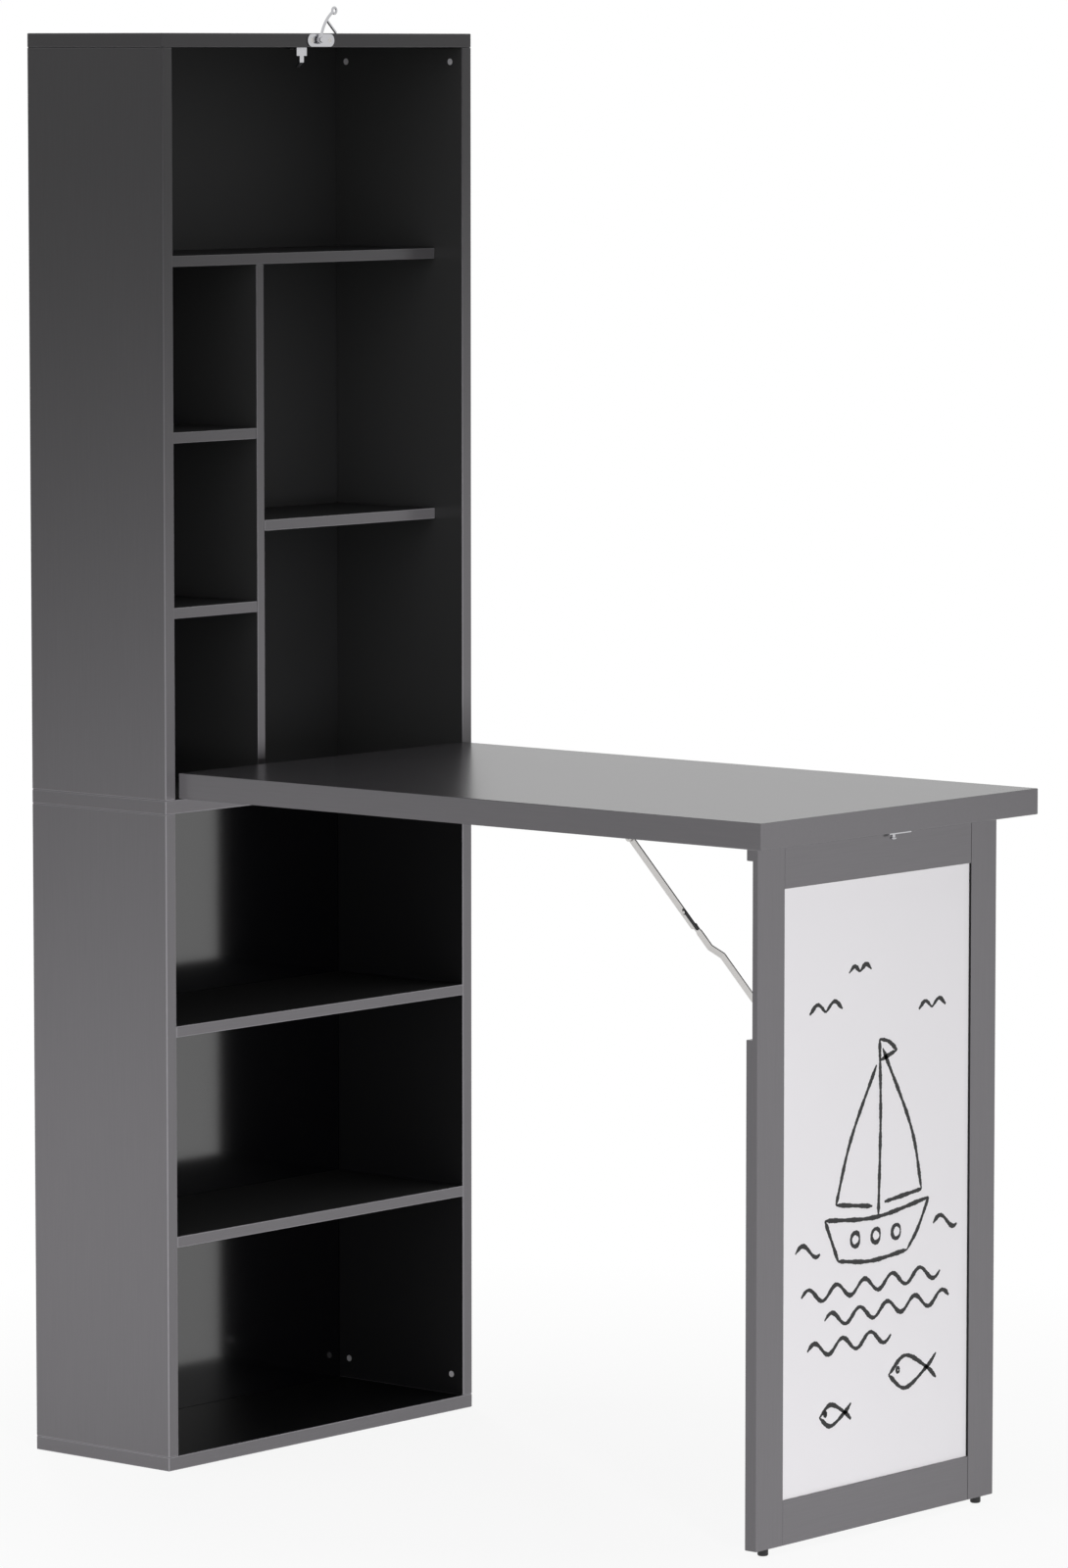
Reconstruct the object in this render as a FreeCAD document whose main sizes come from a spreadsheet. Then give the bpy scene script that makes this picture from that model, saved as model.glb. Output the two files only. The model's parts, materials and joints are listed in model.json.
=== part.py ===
# Folding desk: a slim bookcase whose desk board swings down on butt hinges and stands on a framed
# whiteboard, which is its leg. The leg folds flat under the board on two folding stays, the board
# folds up into the bookcase, and a hook on the top board holds it shut.
# Millimetres and degrees. The origin is the middle of the cabinet's footprint on the floor,
# +Z is up and the open front looks towards -Y. The desk is modelled open, standing on its leg.

import FreeCAD
import Part
import Sketcher
import os
import re

DIMENSIONS = [
    ("cab_width", 492, "cabinet, outside width"),
    ("cab_depth", 196, "cabinet, outside depth"),
    ("cab_height", 1520, "cabinet, height"),
    ("board_thick", 15, "top, middle, bottom and side boards"),
    ("shelf_thick", 12, "shelves and divider"),
    ("deck_level", 716, "top of the middle board"),
    ("shelf_setback", 40, "upper shelves, behind the front edges"),
    ("back_inset", 8, "back panels, in from the rear edges"),
    ("back_thick", 3, "back panels"),
    ("groove_deep", 6, "grooves that hold the back panels"),
    ("lower_first", 238.4, "underside of the first lower shelf"),
    ("lower_second", 463.2, "underside of the second lower shelf"),
    ("upper_level", 1274.4, "underside of the upper shelf"),
    ("left_first", 902.4, "underside of the first left shelf"),
    ("left_second", 1088.2, "underside of the second left shelf"),
    ("right_level", 988.8, "underside of the right shelf"),
    ("divider_side", 187.4, "divider, from the cabinet's left face"),
    ("dowel_front", 70, "front dowels, behind the front edges"),
    ("dowel_rear", 155, "rear dowels, behind the front edges"),
    ("dowel_radius", 3, "shelf dowels"),
    ("dowel_panel", 8, "shelf dowels, depth in the panel"),
    ("dowel_shelf", 14, "shelf dowels, depth in the shelf"),
    ("post_radius", 4, "dowels through the middle board"),
    ("post_deep", 18, "those dowels, depth in each side board"),
    ("nut_front", 17.5, "front barrel nuts, behind the front edges"),
    ("nut_rear", 170, "rear barrel nuts, behind the front edges"),
    ("nut_low", 37, "lower barrel nuts, above the floor"),
    ("nut_high", 30.5, "upper barrel nuts, below the cabinet's top"),
    ("nut_radius", 3.5, "barrel nuts"),
    ("nut_long", 12, "barrel nuts"),
    ("bolt_radius", 2, "corner bolts, shank"),
    ("bolt_head", 4.5, "corner bolts, head radius"),
    ("bolt_sink", 3, "corner bolts, head height"),
    ("bolt_past", 3, "corner bolts, end past the nut's axis"),
    ("fit_play", 0.05, "radial play of pins, dowels and screws in their holes"),
    ("desk_width", 458, "desk board, width"),
    ("desk_long", 785, "desk board, length"),
    ("desk_thick", 27, "desk board, thickness"),
    ("fold_front", 1.75, "desk hinge axis, in front of the cabinet"),
    ("fold_gap", 0.75, "desk hinge axis to the face of each leaf"),
    ("fold_side", 110, "desk hinges, from the middle"),
    ("fold_long", 60, "desk hinge leaves, length"),
    ("fold_wide", 24, "desk hinge leaves, width from the axis"),
    ("leg_width", 394, "leg frame, width"),
    ("leg_thick", 15, "leg frame, thickness"),
    ("leg_back", 29, "leg, in from the desk's outer end"),
    ("leg_head", 0.5, "leg, gap under the desk board"),
    ("stile_wide", 43, "leg stiles"),
    ("rail_wide", 46, "leg rails"),
    ("panel_thick", 3, "whiteboard panel"),
    ("panel_sink", 3, "whiteboard, behind the leg's front face"),
    ("tongue_long", 8, "panel and rail tongues in their grooves"),
    ("tongue_stop", 5, "rail tongues, short of the frame's outer edge"),
    ("swing_gap", 1.5, "leg hinge axis to the face of each leaf"),
    ("swing_side", 95, "leg hinges, from the middle"),
    ("swing_long", 50, "leg hinge leaves, length"),
    ("swing_wide", 22, "leg hinge leaves, width from the axis"),
    ("leaf_thick", 1.2, "hinge leaves"),
    ("knuckle_radius", 2.5, "hinge knuckles"),
    ("knuckle_play", 0.4, "room around the knuckles"),
    ("hinge_pin", 1.3, "hinge pins, radius"),
    ("leaf_screw", 0.62, "hinge screws, from the axis as a share of the leaf's width"),
    ("foot_high", 7, "leg feet, height"),
    ("foot_side", 20, "leg feet, in from the leg's edge"),
    ("foot_radius", 5.5, "leg feet"),
    ("foot_bevel", 1, "leg feet, bevel of the sole"),
    ("stem_radius", 2.5, "leg feet, stem"),
    ("stem_long", 14, "leg feet, stem length"),
    ("notch_deep", 8, "stile notch that takes the folded stay"),
    ("notch_head", 14, "notch, below the leg hinge axis"),
    ("notch_foot", 13, "notch, below the stay's leg pivot"),
    ("stay_reach", 168, "stay's desk pivot, from the leg hinge axis"),
    ("stay_drop", 180, "stay's leg pivot, below the leg hinge axis"),
    ("stay_off", 4.5, "stay pivots, off the leg hinge axis"),
    ("stay_side", 173, "upper link's middle plane, from the middle"),
    ("strap_wide", 6.8, "stay links, width"),
    ("strap_thick", 2, "stay links, thickness"),
    ("neck_wide", 5.4, "lower link, width of its neck at the middle pivot"),
    ("neck_long", 9, "lower link, length of its neck"),
    ("strap_gap", 0.3, "side play between stay pieces"),
    ("joggle_from", 29, "lower link, its step below the middle pivot"),
    ("joggle_step", 9.7, "lower link, sideways step"),
    ("joggle_long", 12, "lower link, length of the step"),
    ("stay_pin", 1.5, "stay pivot pins, radius"),
    ("rivet_head", 2.4, "stay rivet heads, radius"),
    ("rivet_high", 1, "stay rivet heads, height"),
    ("ear_radius", 4, "stay bracket ears"),
    ("foot_plate", 1.5, "stay brackets and fittings, plate thickness"),
    ("desk_foot_wide", 18, "stay's desk bracket, foot width"),
    ("leg_foot_wide", 9, "stay's leg bracket, foot width"),
    ("foot_plate_long", 24, "stay bracket feet, length"),
    ("bracket_screw", 7, "stay bracket screws, from the pivot"),
    ("lever_thick", 1.6, "release lever"),
    ("lever_above", 20, "release lever, above the middle pivot"),
    ("lever_below", 8, "release lever, below the middle pivot"),
    ("lever_inner", 1.8, "release lever, lower edge from the link's middle"),
    ("lever_outer", 4.8, "release lever, thumb edge from the link's middle"),
    ("lever_pivot", 16, "release lever's rivet, above the middle pivot"),
    ("lever_pin", 0.8, "release lever's rivet, radius"),
    ("lever_cap", 0.6, "release lever's rivet, head height"),
    ("screw_radius", 1.5, "wood screws, shank"),
    ("screw_head", 2.8, "wood screws, head radius"),
    ("screw_sink", 1.2, "wood screws, head height"),
    ("screw_long", 11, "wood screws, length"),
    ("screw_short", 6.5, "wood screws in the thin of the stiles, length"),
    ("latch_long", 42, "latch plate, length"),
    ("latch_wide", 13.6, "latch plate, width"),
    ("latch_level", 1512.5, "latch plate's middle"),
    ("latch_screw", 14, "latch screws, from the plate's middle"),
    ("hook_side", 4, "hook pivot, left of the middle"),
    ("hook_level", 1513, "hook pivot, height"),
    ("hook_front", 4.5, "hook's middle plane, in front of the cabinet"),
    ("hook_eye", 4.5, "hook's eye, radius"),
    ("hook_eye_thick", 2.4, "hook's eye, thickness"),
    ("hook_wire", 1.5, "hook's bar, radius"),
    ("hook_pin", 1.7, "hook rivet, radius"),
    ("hook_shoulder", 2.7, "hook rivet, radius of its shoulder and of its head's top"),
    ("hook_rim", 3.2, "hook rivet, head radius"),
    ("hook_play", 0.3, "hook, side play on its rivet"),
    ("hook_cap", 1.2, "hook rivet, head height"),
    ("hook_reach", 38, "hook pivot to the middle of the finger ring"),
    ("hook_bow", 42.4, "hook's arm, bend radius"),
    ("hook_sweep", 44.6, "hook's arm, angle of its arc"),
    ("hook_park", 55.2, "hook's arm, angle above level where it is parked"),
    ("bill_root", 22.6, "hook's bill, root along the arm"),
    ("bill_rise", 4.1, "hook's bill, root beside the chord of the arm"),
    ("bill_long", 19, "hook's bill, length"),
    ("bill_lean", 8, "hook's bill, lean towards the pivot"),
    ("ring_radius", 3.2, "finger ring"),
    ("ring_wire", 1.3, "finger ring, bar radius"),
    ("catch_long", 36, "catch plate, length"),
    ("catch_wide", 12, "catch plate, width"),
    ("catch_in", 8.7, "catch post, in from the desk's outer end"),
    ("catch_side", 4.5, "catch post, left of the middle"),
    ("catch_screw", 12, "catch screws, from the plate's middle"),
    ("catch_radius", 2, "catch post, shank"),
    ("catch_reach", 3.9, "catch post, shank length"),
    ("catch_head", 3.5, "catch post, head radius"),
    ("catch_cap", 2, "catch post, head height"),
    ("stop_gap", 26.5, "desk stop, behind the front edges"),
    ("stop_wide", 16, "desk stop, width of its plate"),
    ("stop_tongue", 6.5, "desk stop, width of its tongue"),
    ("stop_plate", 9, "desk stop, height of its plate"),
    ("stop_drop", 21, "desk stop, height in all"),
    ("stop_flange", 18, "desk stop, flange on the top board"),
    ("stop_curl", 5, "desk stop, bent tip"),
    ("stop_screw_side", 4, "desk stop screws, from the middle"),
    ("stop_screw_back", 10.8, "desk stop screws, behind its face"),
]

# Places that many pieces share, as formulas of the dimensions.
FRONT = "(-cab_depth / 2)"
REAR = "(cab_depth / 2)"
LEFT = "(-cab_width / 2)"
RIGHT = "(cab_width / 2)"
LEFT_IN = "(board_thick - cab_width / 2)"
RIGHT_IN = "(cab_width / 2 - board_thick)"
TOP_IN = "(cab_height - board_thick)"
DECK_LOW = "(deck_level - board_thick)"
BACK_FACE = f"({REAR} - back_inset - back_thick)"
SHELF_FRONT = f"({FRONT} + shelf_setback)"
DIVIDER_LEFT = f"({LEFT} + divider_side)"
DIVIDER_RIGHT = f"({DIVIDER_LEFT} + shelf_thick)"
FOLD_Y = f"({FRONT} - fold_front)"
FOLD_Z = "(deck_level + fold_gap)"
DESK_IN = f"({FOLD_Y} - fold_gap)"
DESK_OUT = f"({DESK_IN} - desk_long)"
DESK_LOW = f"({FOLD_Z} + fold_gap)"
LEG_FRONT = f"({DESK_OUT} + leg_back)"
LEG_REAR = f"({LEG_FRONT} + leg_thick)"
LEG_TOP = f"({DESK_LOW} - leg_head)"
SWING_Y = f"({LEG_REAR} + swing_gap)"
SWING_Z = f"({DESK_LOW} - swing_gap)"
NOTCH_FLOOR = f"({LEG_REAR} - notch_deep)"
STILE_IN = "(leg_width / 2 - stile_wide)"
STAY_DESK = (f"({SWING_Y} + stay_reach)", f"({SWING_Z} - stay_off)")
STAY_LEG = (f"({SWING_Y} - stay_off)", f"({SWING_Z} - stay_drop)")
STAY_SPAN = "sqrt((stay_reach + stay_off)^2 + (stay_drop - stay_off)^2)"
UPPER_LINK = f"(({STAY_SPAN} + stay_reach - stay_drop) / 2)"
LOWER_LINK = f"(({STAY_SPAN} - stay_reach + stay_drop) / 2)"
STAY_TILT = "atan2(stay_reach + stay_off; stay_drop - stay_off)"

WORDS = {"sqrt", "atan", "tan", "sin", "cos", "deg"}
X_AXIS = FreeCAD.Vector(1, 0, 0)
Y_AXIS = FreeCAD.Vector(0, 1, 0)
Z_AXIS = FreeCAD.Vector(0, 0, 1)
TURNS = {
    "+x": FreeCAD.Rotation(Z_AXIS, X_AXIS),
    "-x": FreeCAD.Rotation(Z_AXIS, -X_AXIS),
    "+y": FreeCAD.Rotation(Z_AXIS, Y_AXIS),
    "-y": FreeCAD.Rotation(Z_AXIS, -Y_AXIS),
    "+z": FreeCAD.Rotation(),
    "-z": FreeCAD.Rotation(X_AXIS, 180),
}

doc = FreeCAD.newDocument("folding_desk")
sheet = doc.addObject("Spreadsheet::Sheet", "Dims")
for row, (alias, value, meaning) in enumerate(DIMENSIONS, 1):
    sheet.set(f"A{row}", meaning)
    sheet.set(f"B{row}", str(value))
    sheet.setAlias(f"B{row}", alias)
doc.recompute()

nodes = []


def cells(formula):
    """The formula with every dimension's name pointed at its cell."""
    def cell(word):
        return word[0] if word[0] in WORDS else "Dims." + word[0]
    return re.sub(r"[a-z][a-z_]*", cell, str(formula))


def bind(thing, **formulas):
    """Binds properties to formulas; x, y and z stand for the place."""
    for name, formula in formulas.items():
        path = f".Placement.Base.{name}" if name in "xyz" else name
        thing.setExpression(path, cells(formula))
    return thing


def node(name, solid):
    """Marks a finished piece, which is written under this name."""
    solid.Label = name
    nodes.append(solid)
    return solid


def block(x, y, z):
    """Box from (low, high) formulas along each axis."""
    solid = doc.addObject("Part::Box", "block")
    sizes = [f"{high} - ({low})" for low, high in (x, y, z)]
    bind(solid, Length=sizes[0], Width=sizes[1], Height=sizes[2])
    return bind(solid, x=x[0], y=y[0], z=z[0])


def rod(at, way, length, radius):
    """Cylinder from a point, along +x, -x, +y, -y, +z or -z."""
    solid = doc.addObject("Part::Cylinder", "rod")
    solid.Placement.Rotation = TURNS[way]
    bind(solid, Height=length, Radius=radius)
    return bind(solid, x=at[0], y=at[1], z=at[2])


def cone(at, way, length, first, last):
    """Cone from a point, with its first and last radius."""
    solid = doc.addObject("Part::Cone", "cone")
    solid.Placement.Rotation = TURNS[way]
    bind(solid, Height=length, Radius1=first, Radius2=last)
    return bind(solid, x=at[0], y=at[1], z=at[2])


def tilt(solid, axis, angle):
    """Turns a piece about an axis through its own origin by a formula of degrees."""
    solid.Placement.Rotation = FreeCAD.Rotation(axis, 30)
    solid.setExpression(".Placement.Rotation.Angle", cells(angle))
    return solid


def join(*solids):
    """One solid from several that meet."""
    whole = doc.addObject("Part::MultiFuse", "joined")
    whole.Shapes = list(solids)
    return whole


def group(*solids):
    """Several separate solids in one object."""
    whole = doc.addObject("Part::Compound", "group")
    whole.Links = list(solids)
    return whole


def cut(base, tool):
    rest = doc.addObject("Part::Cut", "cut")
    rest.Base = base
    rest.Tool = tool
    return rest


def common(first, second):
    shared = doc.addObject("Part::MultiCommon", "common")
    shared.Shapes = [first, second]
    return shared


def sketch(body, plane, corners, offset="0"):
    """Closed outline on one of the body's own planes, each corner bound to two formulas."""
    outline = body.newObject("Sketcher::SketchObject", "outline")
    planes = {feature.Role: feature for feature in body.Origin.OriginFeatures}
    outline.AttachmentSupport = [(planes[plane], "")]
    outline.MapMode = "FlatFace"
    outline.setExpression("AttachmentOffset.Base.z", cells(offset))
    count = len(corners)
    turn = FreeCAD.Rotation(Z_AXIS, 360 / count)
    start = FreeCAD.Vector(10, 1, 0)
    for index in range(count):
        end = turn.multVec(start)
        outline.addGeometry(Part.LineSegment(start, end))
        start = end
    for index, (across, up) in enumerate(corners):
        before = (index - 1) % count
        outline.addConstraint(Sketcher.Constraint("Coincident", before, 2, index, 1))
        for kind, formula in (("DistanceX", across), ("DistanceY", up)):
            lock = outline.addConstraint(Sketcher.Constraint(kind, index, 1, 10.0))
            outline.setExpression(f"Constraints[{lock}]", cells(formula))
    return outline


def pad(plane, corners, length, offset="0"):
    """Body made by padding one outline along its plane's normal."""
    body = doc.addObject("PartDesign::Body", "padded")
    feature = body.newObject("PartDesign::Pad", "pad")
    feature.Profile = sketch(body, plane, corners, offset)
    bind(feature, Length=length)
    return body


def turned(corners, at, way):
    """Body turned from a (radius, height) outline about its own axis."""
    body = doc.addObject("PartDesign::Body", "turned")
    outline = sketch(body, "XZ_Plane", corners)
    feature = body.newObject("PartDesign::Revolution", "revolution")
    feature.Profile = outline
    feature.ReferenceAxis = (outline, ["V_Axis"])
    feature.Angle = 360
    body.Placement.Rotation = TURNS[way]
    return bind(body, x=at[0], y=at[1], z=at[2])


def board(x, y, z):
    """Board from (low, high) formulas along each axis, padded from its plan."""
    plan = [(x[0], y[0]), (x[1], y[0]), (x[1], y[1]), (x[0], y[1])]
    return pad("XY_Plane", plan, f"{z[1]} - ({z[0]})", z[0])


def middle(low, high):
    return f"(({low}) + ({high})) / 2"


def countersunk(at, way, length, play):
    """Wood screw from the middle of its head's face, or with play the room for it."""
    head = cone(at, way, "screw_sink", f"screw_head + {play}", f"screw_radius + {play}")
    shank = rod(at, way, f"{length} + {play}", f"screw_radius + {play}")
    return join(head, shank)


def wood_screws(places, length="screw_long"):
    """Screws at (point, way) places, and the rooms that they take."""
    screws = [countersunk(at, way, length, "0") for at, way in places]
    rooms = [countersunk(at, way, length, "fit_play") for at, way in places]
    return screws, rooms


def shelf_dowel_places():
    """(point, way) of each shelf and divider dowel; its way leads from the panel into the shelf."""
    ends = [
        (LEFT_IN, "+x", "upper_level"), (RIGHT_IN, "-x", "upper_level"),
        (LEFT_IN, "+x", "left_first"), (DIVIDER_LEFT, "-x", "left_first"),
        (LEFT_IN, "+x", "left_second"), (DIVIDER_LEFT, "-x", "left_second"),
        (DIVIDER_RIGHT, "+x", "right_level"), (RIGHT_IN, "-x", "right_level"),
        (LEFT_IN, "+x", "lower_first"), (RIGHT_IN, "-x", "lower_first"),
        (LEFT_IN, "+x", "lower_second"), (RIGHT_IN, "-x", "lower_second"),
    ]
    places = []
    for depth in ("dowel_front", "dowel_rear"):
        y = f"{FRONT} + {depth}"
        for x, way, level in ends:
            back = "-" if way == "+x" else "+"
            places.append(((f"{x} {back} dowel_panel", y, f"{level} + shelf_thick / 2"), way))
        x = middle(DIVIDER_LEFT, DIVIDER_RIGHT)
        places.append(((x, y, "deck_level - dowel_panel"), "+z"))
        places.append(((x, y, "upper_level + dowel_panel"), "-z"))
    return places


def dowels(places, length, radius):
    """Dowels at (point, way) places, and the rooms that they take."""
    pegs = [rod(at, way, length, radius) for at, way in places]
    rooms = [rod(at, way, length, f"{radius} + fit_play") for at, way in places]
    return pegs, rooms


def corner_fastening():
    """Barrel nuts in the side boards, bolts into them, and the rooms that they take."""
    nuts, bolts, rooms = [], [], []
    ends = [("nut_low", "0", "+z", "nut_low"), ("cab_height - nut_high", "cab_height", "-z", "nut_high")]
    for side, way in (("-1", "-x"), ("1", "+x")):
        for depth in ("nut_front", "nut_rear"):
            for level, face, bolt_way, reach in ends:
                y = f"{FRONT} + {depth}"
                mouth = (f"{side} * {RIGHT_IN}", y, level)
                foot = (f"{side} * ({RIGHT_IN} + nut_long / 2)", y, face)
                length = f"{reach} + bolt_past"
                bolt = join(cone(foot, bolt_way, "bolt_sink", "bolt_head", "bolt_radius"),
                            rod(foot, bolt_way, length, "bolt_radius"))
                bore = rod(foot, bolt_way, f"{length} + fit_play", "bolt_radius + fit_play")
                sink = cone(foot, bolt_way, "bolt_sink", "bolt_head + fit_play", "bolt_radius + fit_play")
                barrel = rod(mouth, way, "nut_long", "nut_radius")
                seat = rod(mouth, way, "nut_long + fit_play", "nut_radius + fit_play")
                bolts.append(bolt)
                nuts.append(cut(barrel, bore))
                rooms.append(join(seat, bore, sink))
    return nuts, bolts, rooms


def butt_hinge(x, y, z, gap, length, width, way):
    """Hinge with its pin along X. One leaf lies along +Y and carries the outer knuckles and the pin.
    The other stands along +Z, or hangs along -Z, and carries the middle knuckle. Gives the lying
    leaf, the other leaf, the pin, the screws of each and the room that they take in the boards."""
    rise = "+" if way == "+z" else "-"
    sink = "-" if way == "+z" else "+"

    def upright(near, far):
        ends = (f"{z} {rise} ({near})", f"{z} {rise} ({far})")
        return ends if rise == "+" else ends[::-1]

    def beside(near, far):
        ends = (f"{z} {sink} ({near})", f"{z} {sink} ({far})")
        return ends if sink == "+" else ends[::-1]

    start = "knuckle_radius + knuckle_play"
    third = f"({length}) / 6"
    whole = (f"{x} - ({length}) / 2", f"{x} + ({length}) / 2")
    outer = [(whole[0], f"{x} - {third}"), (f"{x} + {third}", whole[1])]
    inner = (f"{x} - {third} + strap_gap", f"{x} + {third} - strap_gap")
    flat = beside(gap, f"{gap} + leaf_thick")
    face = (f"{y} - {gap} - leaf_thick", f"{y} - {gap}")

    screws = {"lying": [], "standing": []}
    for side in ("-", "+"):
        across = f"{x} {side} ({length}) / 3"
        into = "-z" if way == "+z" else "+z"
        screws["lying"].append(((across, f"{y} + ({width}) * leaf_screw", f"{z} {sink} {gap}"), into))
        screws["standing"].append(((across, f"{y} - {gap}", f"{z} {rise} ({width}) * leaf_screw"), "-y"))
    lying_screws, lying_rooms = wood_screws(screws["lying"])
    standing_screws, standing_rooms = wood_screws(screws["standing"])

    lying = [block(whole, (f"{y} + {start}", f"{y} + {width}"), flat)]
    for low, high in outer:
        lying.append(block((low, high), (y, f"{y} + {start}"), flat))
        lying.append(rod((low, y, z), "+x", f"{high} - ({low})", "knuckle_radius"))
    standing = [
        block(whole, face, upright(start, width)),
        block(inner, face, upright("0", start)),
        rod((inner[0], y, z), "+x", f"{inner[1]} - ({inner[0]})", "knuckle_radius"),
    ]
    bore = rod((whole[0], y, z), "+x", length, "hinge_pin + fit_play")
    room = [
        block(whole, (y, f"{y} + {width}"), flat),
        block(whole, face, upright("0", width)),
        block(whole, (f"{y} - ({start})", f"{y} + {start}"), (f"{z} - ({start})", f"{z} + {start}")),
    ]
    return {
        "lying": cut(join(*lying), group(bore, *lying_rooms)),
        "standing": cut(join(*standing), group(bore, *standing_rooms)),
        "pin": rod((whole[0], y, z), "+x", length, "hinge_pin"),
        "lying_screws": lying_screws,
        "standing_screws": standing_screws,
        "room": join(*room, *lying_rooms, *standing_rooms),
    }


def hinge_pair(y, z, gap, apart, length, width, way):
    return [butt_hinge(f"{side} * {apart}", y, z, gap, length, width, way) for side in ("-1", "1")]


def latch_fittings():
    """Oval plate on the top board's edge, the hook's rivet and their screws."""
    face = f"{FRONT} - foot_plate"
    ends = [(f"{side} * (latch_long - latch_wide) / 2", FRONT, "latch_level") for side in ("-1", "1")]
    low, high = "latch_level - latch_wide / 2", "latch_level + latch_wide / 2"
    plate = join(
        block((ends[0][0], ends[1][0]), (face, FRONT), (low, high)),
        *[rod(end, "-y", "foot_plate", "latch_wide / 2") for end in ends])
    places = [((f"{side} * latch_screw", face, "latch_level"), "+y") for side in ("-1", "1")]
    screws, rooms = wood_screws(places)
    shoulder = "(hook_front - foot_plate - hook_eye_thick / 2 - hook_play)"
    head = f"({shoulder} + hook_eye_thick + hook_play * 2)"
    profile = [
        ("0", "0"), ("hook_shoulder", "0"), ("hook_shoulder", shoulder), ("hook_pin", shoulder),
        ("hook_pin", head), ("hook_rim", head), ("hook_shoulder", f"{head} + hook_cap"),
        ("0", f"{head} + hook_cap"),
    ]
    rivet = turned(profile, ("-hook_side", face, "hook_level"), "-y")
    return cut(plate, group(*rooms)), rivet, screws, rooms


def bent_bar(bow, radius, sweep):
    """Round bar bent to an arc about the origin, with its middle on +Z."""
    body = doc.addObject("PartDesign::Body", "bent")
    outline = body.newObject("Sketcher::SketchObject", "outline")
    planes = {feature.Role: feature for feature in body.Origin.OriginFeatures}
    outline.AttachmentSupport = [(planes["YZ_Plane"], "")]
    outline.MapMode = "FlatFace"
    outline.addGeometry(Part.Circle(FreeCAD.Vector(0, 10, 0), Z_AXIS, 1))
    centre = outline.addConstraint(Sketcher.Constraint("DistanceY", 0, 3, 10.0))
    outline.addConstraint(Sketcher.Constraint("PointOnObject", 0, 3, -2))
    size = outline.addConstraint(Sketcher.Constraint("Radius", 0, 1.0))
    outline.setExpression(f"Constraints[{centre}]", cells(bow))
    outline.setExpression(f"Constraints[{size}]", cells(radius))
    feature = body.newObject("PartDesign::Revolution", "revolution")
    feature.Profile = outline
    feature.ReferenceAxis = (outline, ["H_Axis"])
    feature.Midplane = True
    bind(feature, Angle=sweep)
    return body


def latch_hook():
    """Bent bar with an eye, a bill that hooks the catch post and a finger ring. It is drawn with its
    arm along +X from the pivot, then turned up to where it is parked."""
    eye = rod(("0", "hook_eye_thick / 2", "0"), "-y", "hook_eye_thick", "hook_eye")
    arm = bent_bar("hook_bow", "hook_wire", "hook_sweep")
    bind(arm, x="hook_reach / 2", z="-sqrt(hook_bow^2 - (hook_reach / 2)^2)")
    ring = doc.addObject("Part::Torus", "ring")
    ring.Placement.Rotation = TURNS["-y"]
    bind(ring, Radius1="ring_radius", Radius2="ring_wire", x="hook_reach")
    bill = rod(("bill_root", "0", "bill_rise"), "-z", "bill_long", "hook_wire")
    tilt(bill, -Y_AXIS, "180 - bill_lean")
    tip = doc.addObject("Part::Sphere", "tip")
    bind(tip, Radius="hook_wire", x="bill_root - bill_long * sin(bill_lean * 1deg)",
         z="bill_rise - bill_long * cos(bill_lean * 1deg)")
    hole = rod(("0", "hook_eye_thick", "0"), "-y", "hook_eye_thick * 2", "hook_pin + fit_play")
    hook = cut(join(eye, arm, ring, bill, tip), hole)
    tilt(hook, -Y_AXIS, "hook_park")
    return bind(hook, x="-hook_side", y=f"{FRONT} - hook_front", z="hook_level")


def desk_stop():
    """Strip under the top board, bent down behind the folded desk, with its tip curled back."""
    face = f"{FRONT} + stop_gap"
    back = f"{face} + foot_plate"
    low = f"{TOP_IN} - stop_drop"
    profile = [
        (face, TOP_IN), (face, f"{low} + stop_curl"), (f"{face} + stop_curl", low),
        (f"{face} + stop_curl + foot_plate", f"{low} + foot_plate / 2"),
        (back, f"{low} + stop_curl + foot_plate / 2"), (back, f"{TOP_IN} - foot_plate"),
        (f"{face} + stop_flange", f"{TOP_IN} - foot_plate"), (f"{face} + stop_flange", TOP_IN),
    ]
    strip = pad("YZ_Plane", profile, "stop_wide", "-stop_wide / 2")
    waste_y = (face, f"{face} + stop_flange")
    waste_z = (low, f"{TOP_IN} - stop_plate")
    waste_x = [("-stop_wide", "-stop_tongue / 2"), ("stop_tongue / 2", "stop_wide")]
    sides = [block(span, waste_y, waste_z) for span in waste_x]
    places = [((f"{side} * stop_screw_side", f"{face} + stop_screw_back", f"{TOP_IN} - foot_plate"), "+z")
              for side in ("-1", "1")]
    screws, rooms = wood_screws(places)
    return cut(strip, group(*sides, *rooms)), screws, rooms


def catch_fittings():
    """Plate and headed post under the desk board, which the hook holds when the board is folded up."""
    y = f"{DESK_OUT} + catch_in"
    plate = block(("-catch_long / 2", "catch_long / 2"), (f"{y} - catch_wide / 2", f"{y} + catch_wide / 2"),
                  (f"{DESK_LOW} - foot_plate", DESK_LOW))
    face = f"{DESK_LOW} - foot_plate"
    screws, rooms = wood_screws([((f"{side} * catch_screw", y, face), "+z") for side in ("-1", "1")])
    post = turned(
        [("0", "0"), ("catch_radius", "0"), ("catch_radius", "catch_reach"), ("catch_head", "catch_reach"),
         ("catch_head", "catch_reach + catch_cap / 2"), ("catch_radius", "catch_reach + catch_cap"),
         ("0", "catch_reach + catch_cap")],
        ("-catch_side", y, face), "-z")
    return cut(plate, group(*rooms)), post, screws, rooms


def across(side, near, far):
    """(low, high) along X of what lies between two distances from the middle, on one side."""
    return (f"-({far})", f"-({near})") if side == "left" else (near, far)


def lengthwise(span, y, z, radius):
    """Rod along X that fills a (low, high) span."""
    return rod((span[0], y, z), "+x", f"{span[1]} - ({span[0]})", radius)


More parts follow.
